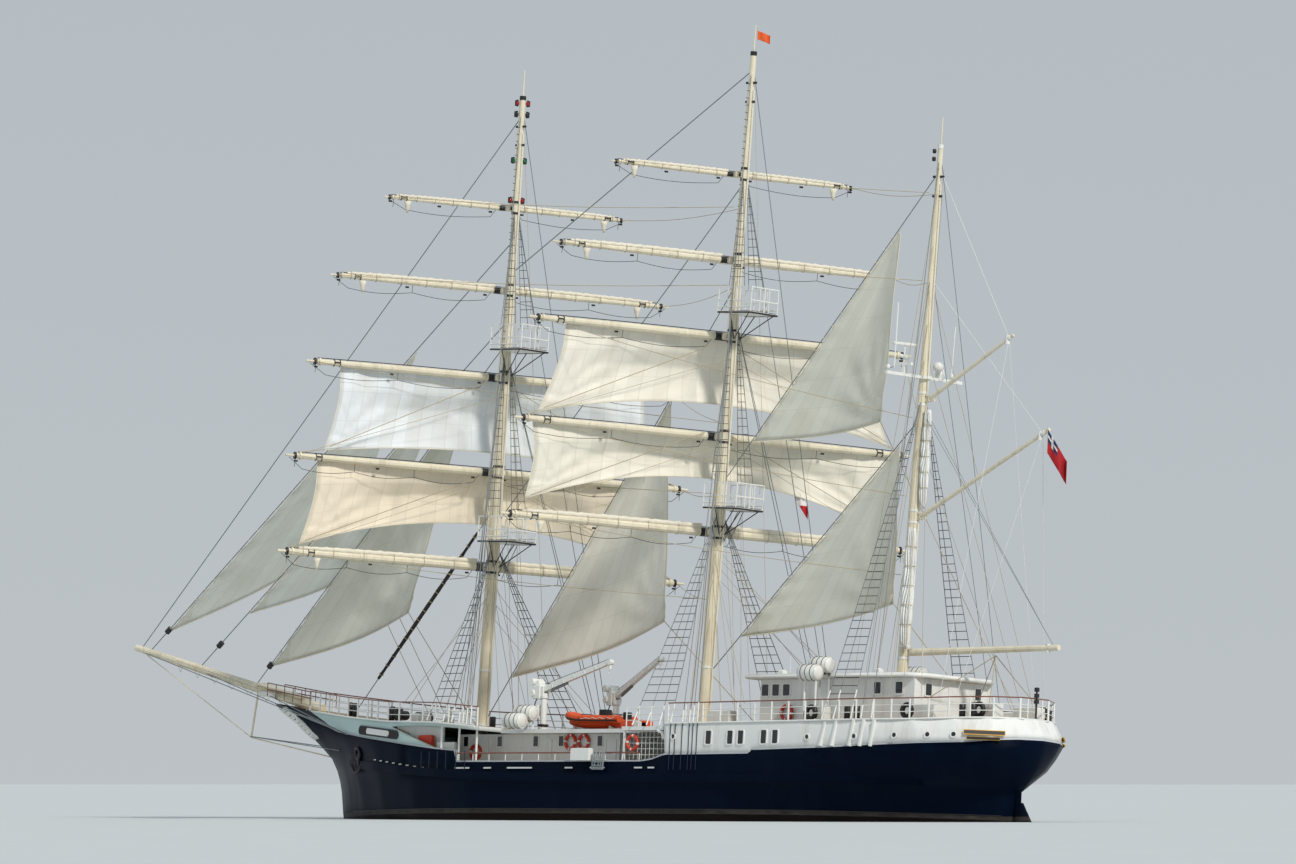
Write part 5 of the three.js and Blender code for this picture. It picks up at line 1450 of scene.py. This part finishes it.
def fit_furlers():
    """Dark drums at the feet of the headsails' stays."""
    feet = (("outer_jib_stay", 10.35), ("middle_jib_stay", 9.5), ("inner_jib_stay", 8.3))
    bars("furler_drums", [[on_stay(stay, z), on_stay(stay, z + 0.22)] for stay, z in feet], 0.16, "iron",
         sides=3)


def brail_spankers():
    """The two spankers, drawn in to the mizzen mast in deep pleats by their brails."""
    for name, low, high, radius, pleats, ahead, beam in (("lower", 8.98, 14.9, 0.34, 13, -0.62, 0.78),
                                                         ("upper", 16.15, 20.95, 0.26, 11, -1.0, 0.05)):
        def centre(z, x=0.0, y=0.0, up=0.0):
            away = mast_radius("mizzen", z) + radius * 0.9
            return on_mast("mizzen", ahead * away + x, beam * away + y, z + up)

        def place(u, v):
            fullness = 0.55 + 0.45 * math.sin(math.pi
                                              * (0.12 + 0.8 * v)) - 0.14 * abs(math.cos(math.pi * v * 6)) ** 6
            turn = 2 * math.pi * u + 0.35 * math.sin(v * 7)
            folds = 0.66 + 0.34 * math.cos(pleats * 2 * math.pi * u + 1.2 * math.sin(v * 11 + u * 6))
            x, y = -math.cos(turn), math.sin(turn)
            r = radius * fullness * folds
            return centre(low + (high - low) * v, r * x, r * y, 0.25 * x * (1 - v))

        FINISH[f"{name}_spanker"] = sailcloth(f"{name} spanker canvas", "#F1F2F0", 6, 9, patch=False)
        loops = [ring_round(centre(low + (high - low) * n / 6), Vector((0.04, 0, 1)), radius * 0.86, 14)
                 for n in range(1, 6)]
        brails = bars(f"{name}_spanker_brails", loops, 0.02, "rope", closed=True)
        sail = cloth_grid(f"{name}_spanker_sail", pleats * 8, 30, place, f"{name}_spanker", "ship",
                          thickness=0.004,
                          flat=spread(place, pleats * 8, 12), held="gathered", rests_on=["mizzen_mast"],
                          with_pieces=[brails])
        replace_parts(sail, f"{name}_spanker_brailed")


def fit_cranes():
    """Hooks, wires, hydraulic rams, winches and foot flanges of the two deck cranes."""
    flange = drum_shape(0.3, 0.14, 0.03, 20)
    housing = block_shape((0.5, 0.62, 0.72), 0.06, 0.08, 0.05)
    for word, side, x, slewed, luffed in (("port", 1, 7.7, 0, 16.5), ("starboard", -1, 7.2, 17, 22)):
        base = upright(x, side * 2.5, 0, side * slewed)
        jib = base @ Matrix.Translation((0, 0, 6.7)) @ Matrix.Rotation(math.radians(luffed), 4, "Y")

        def put(part, frame_of, runs, radius, finish, sides=0):
            body = f"{word}_jib" if frame_of is jib else f"{word}_crane"
            runs = [[frame_of @ Vector(point) for point in run] for run in runs]
            bars(f"{word}_{part}", runs, radius, finish, body, sides)

        ribs = [[(-a, s * 0.12, -0.09), (-a, s * 0.12, 0.09)] for a in (0.7, 1.5, 2.3, 3.1, 3.9)
                for s in SIDES]
        put("jib_ribs", jib, ribs, 0.018, "canister")
        put("jib_hoist_wire", jib, [[(-0.2, 0, 0.28), (-4.85, 0, 0.19)]], 0.018, "wire")
        put("jib_ram", jib, [[(-0.5, 0, -0.2), (-1.7, 0, -0.16)]], 0.07, "wire", 2)
        tip = jib @ Vector((-4.9, 0, 0))
        bars(f"{word}_hook_block", [[tip - UP * 0.16, tip - UP * 0.36]], 0.085, "white", f"{word}_jib",
             sides=2)
        hook = [tip + Vector((0.09 * math.sin(a), 0, -0.52 + 0.09 * math.cos(a))) for a in row(0, 0.5, 10)]
        bars(f"{word}_hook", [hook], 0.02, "white", f"{word}_jib", sides=1)
        drums = [[(x, -0.42, z), (x, 0.42, z)] for x, z in ((0.62, 7.1), (0.58, 6.5))]
        put("crane_winches", base, drums, 0.19, "white", 3)
        hose = ((0.3, 0.2, 6.3), (0.42, 0.26, 5.9), (0.22, 0.2, 5.4), (0.2, 0.16, 4.85))
        hoses = [[(ahead, s * out, z) for ahead, out, z in hose] for s in SIDES]
        put("crane_hoses", base, hoses, 0.03, "iron", 1)
        for template, part, place, finish in (
                (flange, "flange", Matrix.Translation((0, 0, 4.82)) @ ON_END, "iron"),
                (housing, "housing", Matrix.Translation((0.32, 0, 6.2)), "white"),
                (housing, "controls", scaled(Matrix.Translation((0.38, 0, 5.35)), 0.7, 0.8, 0.7), "white")):
            stamp(template, f"{word}_crane_{part}", [base @ place], [finish], f"{word}_crane")
    drop(housing)
    drop(flange)


def fit_boat():
    """The orange rescue boat in its chocks, with an inflated collar, console and engine cowl."""
    x, y, z, beam = 5.75, 0.3, 5.08, 0.6

    def mirrored(run):
        return [(px, 2 * y - py, pz) for px, py, pz in run]

    port = [(x + ahead, y + beam, z + up) for ahead,
            up in ((-2.05, 0.16), (-1.2, 0.15), (-0.3, 0.16), (0.6, 0.19))]
    port += [(x + 0.6 + 1.45 * math.sin(a), y + beam * math.cos(a) ** 0.8, z + 0.19 + 0.22 * math.sin(a) ** 2)
             for a in row(math.pi / 24, math.pi / 24, 11)]
    collar = port + [(x + 2.06, y, z + 0.41)] + mirrored(port)[::-1]
    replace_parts(bars("rescue_boat_collar", [collar], 0.21, "orange", sides=4), "rescue_boat")
    outer = [(px, py + (0.22 if py - y > 0.2 else 0.088), pz - 0.08) for px, py, pz in port]
    bars("rescue_boat_rubbing_strakes", [outer, mirrored(outer)], 0.045, "iron", sides=1)
    hull = add_shape("uv_sphere", segments=32, ring_count=16, radius=1, location=(x - 0.05, y, z + 0.05),
                     scale=(2.15, 0.62, 0.38))
    bpy.ops.object.shade_smooth()
    stamp_each(hull, ("rescue_boat_hull", [Matrix()], ["orange"]))
    cowl = scaled(upright(x - 2.05, y, z + 0.1), 0.6, 0.8, 0.9)
    stamp_each(block_shape((0.5, 0.46, 0.5), 0.06, 0.08, -0.03),
               ("rescue_boat_console", [upright(x - 0.45, y, z + 0.2)], ["iron"]),
               ("rescue_boat_cowl", [cowl], ["iron"]))
    festoon = [(x - 1.9 + i * 0.13, z + 0.24 - 0.07 * abs(math.sin(i * math.pi / 4))) for i in range(20)]
    lines = [[(px, y + s * (beam + 0.25), pz) for px, pz in festoon] for s in SIDES]
    bars("rescue_boat_grab_lines", lines, 0.018, "canister")
    girth = ((beam + 0.25, -0.12), (beam + 0.27, 0.2), (beam, 0.43), (0.0, 0.46))
    straps = [[(x + dx, y + s * out, z + up) for out, up in girth] for dx in (-1.3, 0.7) for s in SIDES]
    bars("rescue_boat_lashings", straps, 0.022, "tarred")
    stamp_each(block_shape((1.5, 0.9, 0.5), 0.12, 0.1, 0.05),
               ("deck_float", [upright(1.5, 1.9, 4.56)], ["orange"]))


def fit_rafts():
    """White life-raft canisters with dark straps, in pairs on their racks."""
    seats = [Vector((x, side * (y - 0.85 * i), z + 0.45 * i)) for x, y,
             z in ((8.0, 4.35, 4.95), (-12.8, 4.47, 7.25))
             for side in SIDES for i in (0, 1)]
    places = [Matrix.Translation(seat) for seat in seats]
    stamp_each(drum_shape(0.415, 1.3, 0.16, 30), ("raft_canisters", places, ["canister"]))
    along = Vector((1, 0, 0))
    straps = [ring_round(seat + along * dx, along, 0.42, 20) for seat in seats for dx in (-0.33, 0.0, 0.33)]
    bars("raft_straps", straps, 0.022, "tarred", closed=True)


def fly_flags():
    """Bunting on the lower gaff, the main pole and a signal halyard beside the mainmast."""
    ensign = on_spar("lower_gaff", 0.97) + Vector((-0.25, 0.12, 0.1))
    for name, hoist, height, length, finish, body, carrier, heading, droop in (
            ("ensign", ensign, 1.15, 1.95, "flag", "lower_gaff", "lower_gaff", (-0.75, -0.65, 0), 1.55),
            ("masthead_pennant", on_mast("main", -0.15, 0, 41.3), 0.45, 0.75, "pennant", "ship", "main_mast",
             (-0.7, -0.7, 0), 0.35),
            ("signal_flag", Vector((-2.55, -5.2, 17.85)), 0.7, 1.3, "signal", "ship", "main_mast",
             (-0.75, -0.6, 0), 1.5)):
        out = Vector(heading).normalized()
        reach = 1 / math.hypot(1, droop)

        def place(u, v):
            wave = (0.10 * math.sin(u * 8.5 + v * 1.3) + 0.05 * math.sin(u * 17 - v * 2)) * u * length
            fly = u * length * 0.95 * reach
            return hoist + out * fly + Vector((-out.y, out.x,
                                               0)) * wave - UP * (fly * droop + height * (1 - v))

        line = bars(f"{name}_halyard", [[hoist + UP * 0.15, hoist, hoist - UP * (height + 0.1)]], 0.014,
                    "rope", body)
        cloth_grid(name, 26, 12, place, finish, body, thickness=0.003, flat=spread(place), held="hung",
                   rests_on=[carrier], with_pieces=[line])


def set_stage():
    """A plain floor at the waterline, a sun from aft to port, a pale sky and the photograph's camera."""
    floor = add_shape("plane", size=2400, rotation=(-HEEL, 0, 0))
    floor.name = "floor"
    material, tree, where = start_material("plain floor")
    ripples = add(tree, "TexNoise", {"Vector": where["Object"], "Scale": 0.5, "Detail": 4.0})
    close_material(tree, add(tree, "Mix", {0: ripples, 6: linear("#C4CACC"), 7: linear("#CDD2D3")}, 2,
                             data_type="RGBA"), {"Roughness": 0.85})
    floor.data.materials.append(material)
    scene = bpy.context.scene
    lamp = bpy.data.lights.new("sun", "SUN")
    lamp.energy, lamp.angle, lamp.color = sizes().sun_strength, math.radians(6), (1.0, 0.96, 0.9)
    sun = bpy.data.objects.new("sun", lamp)
    scene.collection.objects.link(sun)
    sun.rotation_euler = Vector((-0.95, 0.3, 0.86)).to_track_quat("Z", "Y").to_euler()
    scene.world = bpy.data.worlds.new("pale sky")
    scene.world.use_nodes = True
    tree = scene.world.node_tree
    tree.nodes.clear()
    height = add(tree, "SeparateXYZ", {0: add(tree, "TexCoord", output="Generated")}, 2)
    ramp = add(tree, "ValToRGB", {0: height})
    low, high = ramp.node.color_ramp.elements
    low.color, high.position, high.color = linear("#DCE2E6"), 0.3, linear("#C9D4DC")
    back = add(tree, "Background", {0: ramp, 1: sizes().sky_strength})
    add(tree, "OutputWorld", {0: back})
    place_camera()
    scene.view_settings.view_transform = "Standard"
    scene.view_settings.look = "None"


def place_camera():
    """The photograph's viewpoint: far off on the port quarter, near the water, through a long lens."""
    width, middle = 1296, Vector((648, 432))
    aimed_at = Vector((678.75, 780))  # where the ship's origin at the waterline falls in the photograph
    azimuth, distance, height = math.radians(43), 190.0, 1.05
    # The full-size ship's length is seen at 14.05 pixels a metre
    focal = 14.05 / math.cos(azimuth) * distance / K
    base = Vector((math.sin(azimuth), -math.cos(azimuth), 0))
    yaw, pitch = math.atan((aimed_at.x - middle.x) / focal), math.atan((aimed_at.y - middle.y) / focal)
    ahead = base * math.cos(yaw) - base.cross(UP) * math.sin(yaw)
    ahead = ahead * math.cos(pitch) + UP * math.sin(pitch)
    right = ahead.cross(UP).normalized()
    turn = Matrix.Rotation(-HEEL, 3, "X")
    axes = Matrix([turn @ right, turn @ right.cross(ahead), turn @ -ahead]).transposed()
    lens = bpy.data.cameras.new("camera")
    lens.lens, lens.sensor_width = focal / width * 36, 36
    lens.clip_start, lens.clip_end = 1.0, 3000
    camera = bpy.data.objects.new("camera", lens)
    bpy.context.scene.collection.objects.link(camera)
    camera.matrix_world = Matrix.Translation(turn @ (UP * height - base * distance)) @ axes.to_4x4()
    bpy.context.scene.camera = camera


# The add-on

def hex_colour(name, description, default):
    return StringProperty(name=name, description=f"{description}, as a hex colour", default=default)


def full_size(name, description, default, least):
    return FloatProperty(name=name, description=f"{description}, full size", default=default, min=least,
                         unit="LENGTH")


class BarqueColours(bpy.types.PropertyGroup):
    topsides: hex_colour("Topsides", "Hull enamel above the waterline", "#030F22")
    top_line: hex_colour("Top line", "Thin line along the top of the hull's enamel", "#C8CCD0")
    boot_top: hex_colour("Boot-top", "Weathered band at the waterline", "#54504C")
    white: hex_colour("White enamel", "Bulwarks and deckhouses", "#E6E7E4")
    spars: hex_colour("Spars", "Masts, yards, booms and bowsprit", "#E3DAC2")
    orange: hex_colour("Rescue boat", "Inflated collar of the rescue boat", "#E2521F")


class BarqueSizes(bpy.types.PropertyGroup):
    sun_strength: FloatProperty(name="Key light", description="Strength of the sun", default=2.5, min=0.0)
    sky_strength: FloatProperty(name="Fill light", description="Strength of the sky's light", default=0.72,
                                min=0.0)
    ratline_step: full_size("Ratlines", "Height between two ratlines", 0.42, 0.2)
    shroud: full_size("Shrouds", "Radius of the shrouds' wire", 0.024, 0.005)
    rope: full_size("Ropes", "Radius of the falls and halyards", 0.013, 0.005)


def sizes():
    return bpy.context.scene.barque_sizes


def run_of(*steps):
    for step in steps:
        step()
    return {"FINISHED"}


class BARQUE_OT_finishes(bpy.types.Operator):
    """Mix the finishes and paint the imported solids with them"""
    bl_idname = "barque.finishes"
    bl_label = "Paint the solids"

    def execute(self, context):
        mix_finishes(context.scene.barque_colours)
        return run_of(paint_solids)


class BARQUE_OT_hull(bpy.types.Operator):
    """Fit windows, ports, mouldings, carving and anchors to the hull"""
    bl_idname = "barque.hull"
    bl_label = "Fit the hull"

    def execute(self, context):
        return run_of(fit_hull)


class BARQUE_OT_houses(bpy.types.Operator):
    """Fit windows, doors and gear to the deckhouses"""
    bl_idname = "barque.houses"
    bl_label = "Fit the deckhouses"

    def execute(self, context):
        return run_of(fit_houses)


class BARQUE_OT_rails(bpy.types.Operator):
    """Fit the rails round the decks"""
    bl_idname = "barque.rails"
    bl_label = "Fit the rails"

    def execute(self, context):
        return run_of(fit_rails)


class BARQUE_OT_masts(bpy.types.Operator):
    """Fit hoops, lamps, tracks and gratings to the masts"""
    bl_idname = "barque.masts"
    bl_label = "Fit the masts"

    def execute(self, context):
        return run_of(fit_masts)


class BARQUE_OT_yards(bpy.types.Operator):
    """Fit footropes, bands and furled canvas to the yards"""
    bl_idname = "barque.yards"
    bl_label = "Fit the yards"

    def execute(self, context):
        return run_of(fit_yards)


class BARQUE_OT_rigging(bpy.types.Operator):
    """Set up the standing and the running rigging"""
    bl_idname = "barque.rigging"
    bl_label = "Rig the masts"

    def execute(self, context):
        return run_of(rig_shrouds, rig_upper_shrouds, rig_bowsprit, rig_yards, rig_falls, rig_sails,
                      rig_spars)


class BARQUE_OT_sails(bpy.types.Operator):
    """Set the square sails and staysails and brail up the spankers"""
    bl_idname = "barque.sails"
    bl_label = "Set the sails"

    def execute(self, context):
        return run_of(set_square_sails, set_staysails, fit_furlers, brail_spankers)


class BARQUE_OT_cranes(bpy.types.Operator):
    """Fit the cranes' wires, hooks and flanges"""
    bl_idname = "barque.cranes"
    bl_label = "Fit the cranes"

    def execute(self, context):
        return run_of(fit_cranes)


class BARQUE_OT_boats(bpy.types.Operator):
    """Stow the rescue boat and the life-raft canisters"""
    bl_idname = "barque.boats"
    bl_label = "Stow the boats"

    def execute(self, context):
        return run_of(fit_boat, fit_rafts)


class BARQUE_OT_flags(bpy.types.Operator):
    """Fly the flags"""
    bl_idname = "barque.flags"
    bl_label = "Fly the flags"

    def execute(self, context):
        return run_of(fly_flags)


class BARQUE_OT_stage(bpy.types.Operator):
    """Lay the floor and set the lights and the camera"""
    bl_idname = "barque.stage"
    bl_label = "Set the stage"

    def execute(self, context):
        return run_of(set_stage)


OPERATORS = (
    BARQUE_OT_finishes, BARQUE_OT_hull, BARQUE_OT_houses, BARQUE_OT_rails, BARQUE_OT_masts, BARQUE_OT_yards,
    BARQUE_OT_rigging, BARQUE_OT_sails, BARQUE_OT_cranes, BARQUE_OT_boats, BARQUE_OT_flags, BARQUE_OT_stage,
)


class BARQUE_PT_panel(bpy.types.Panel):
    """The barque's colours and the steps that dress it"""
    bl_idname = "BARQUE_PT_panel"
    bl_label = "Three-masted Barque"
    bl_space_type = "VIEW_3D"
    bl_region_type = "UI"
    bl_category = "Barque"

    def draw(self, context):
        for group in (context.scene.barque_colours, context.scene.barque_sizes):
            for name in group.__annotations__:
                self.layout.prop(group, name)
        for operator in OPERATORS:
            self.layout.operator(operator.bl_idname)


CLASSES = (BarqueColours, BarqueSizes, *OPERATORS, BARQUE_PT_panel)


def register():
    for item in CLASSES:
        bpy.utils.register_class(item)
    bpy.types.Scene.barque_colours = PointerProperty(type=BarqueColours)
    bpy.types.Scene.barque_sizes = PointerProperty(type=BarqueSizes)


def unregister():
    del bpy.types.Scene.barque_sizes
    del bpy.types.Scene.barque_colours
    for item in reversed(CLASSES):
        bpy.utils.unregister_class(item)


def main():
    register()
    bpy.ops.barque.finishes()
    bpy.ops.barque.hull()
    bpy.ops.barque.houses()
    bpy.ops.barque.rails()
    bpy.ops.barque.masts()
    bpy.ops.barque.yards()
    bpy.ops.barque.rigging()
    bpy.ops.barque.sails()
    bpy.ops.barque.cranes()
    bpy.ops.barque.boats()
    bpy.ops.barque.flags()
    bpy.ops.barque.stage()


if __name__ == "__main__":
    main()
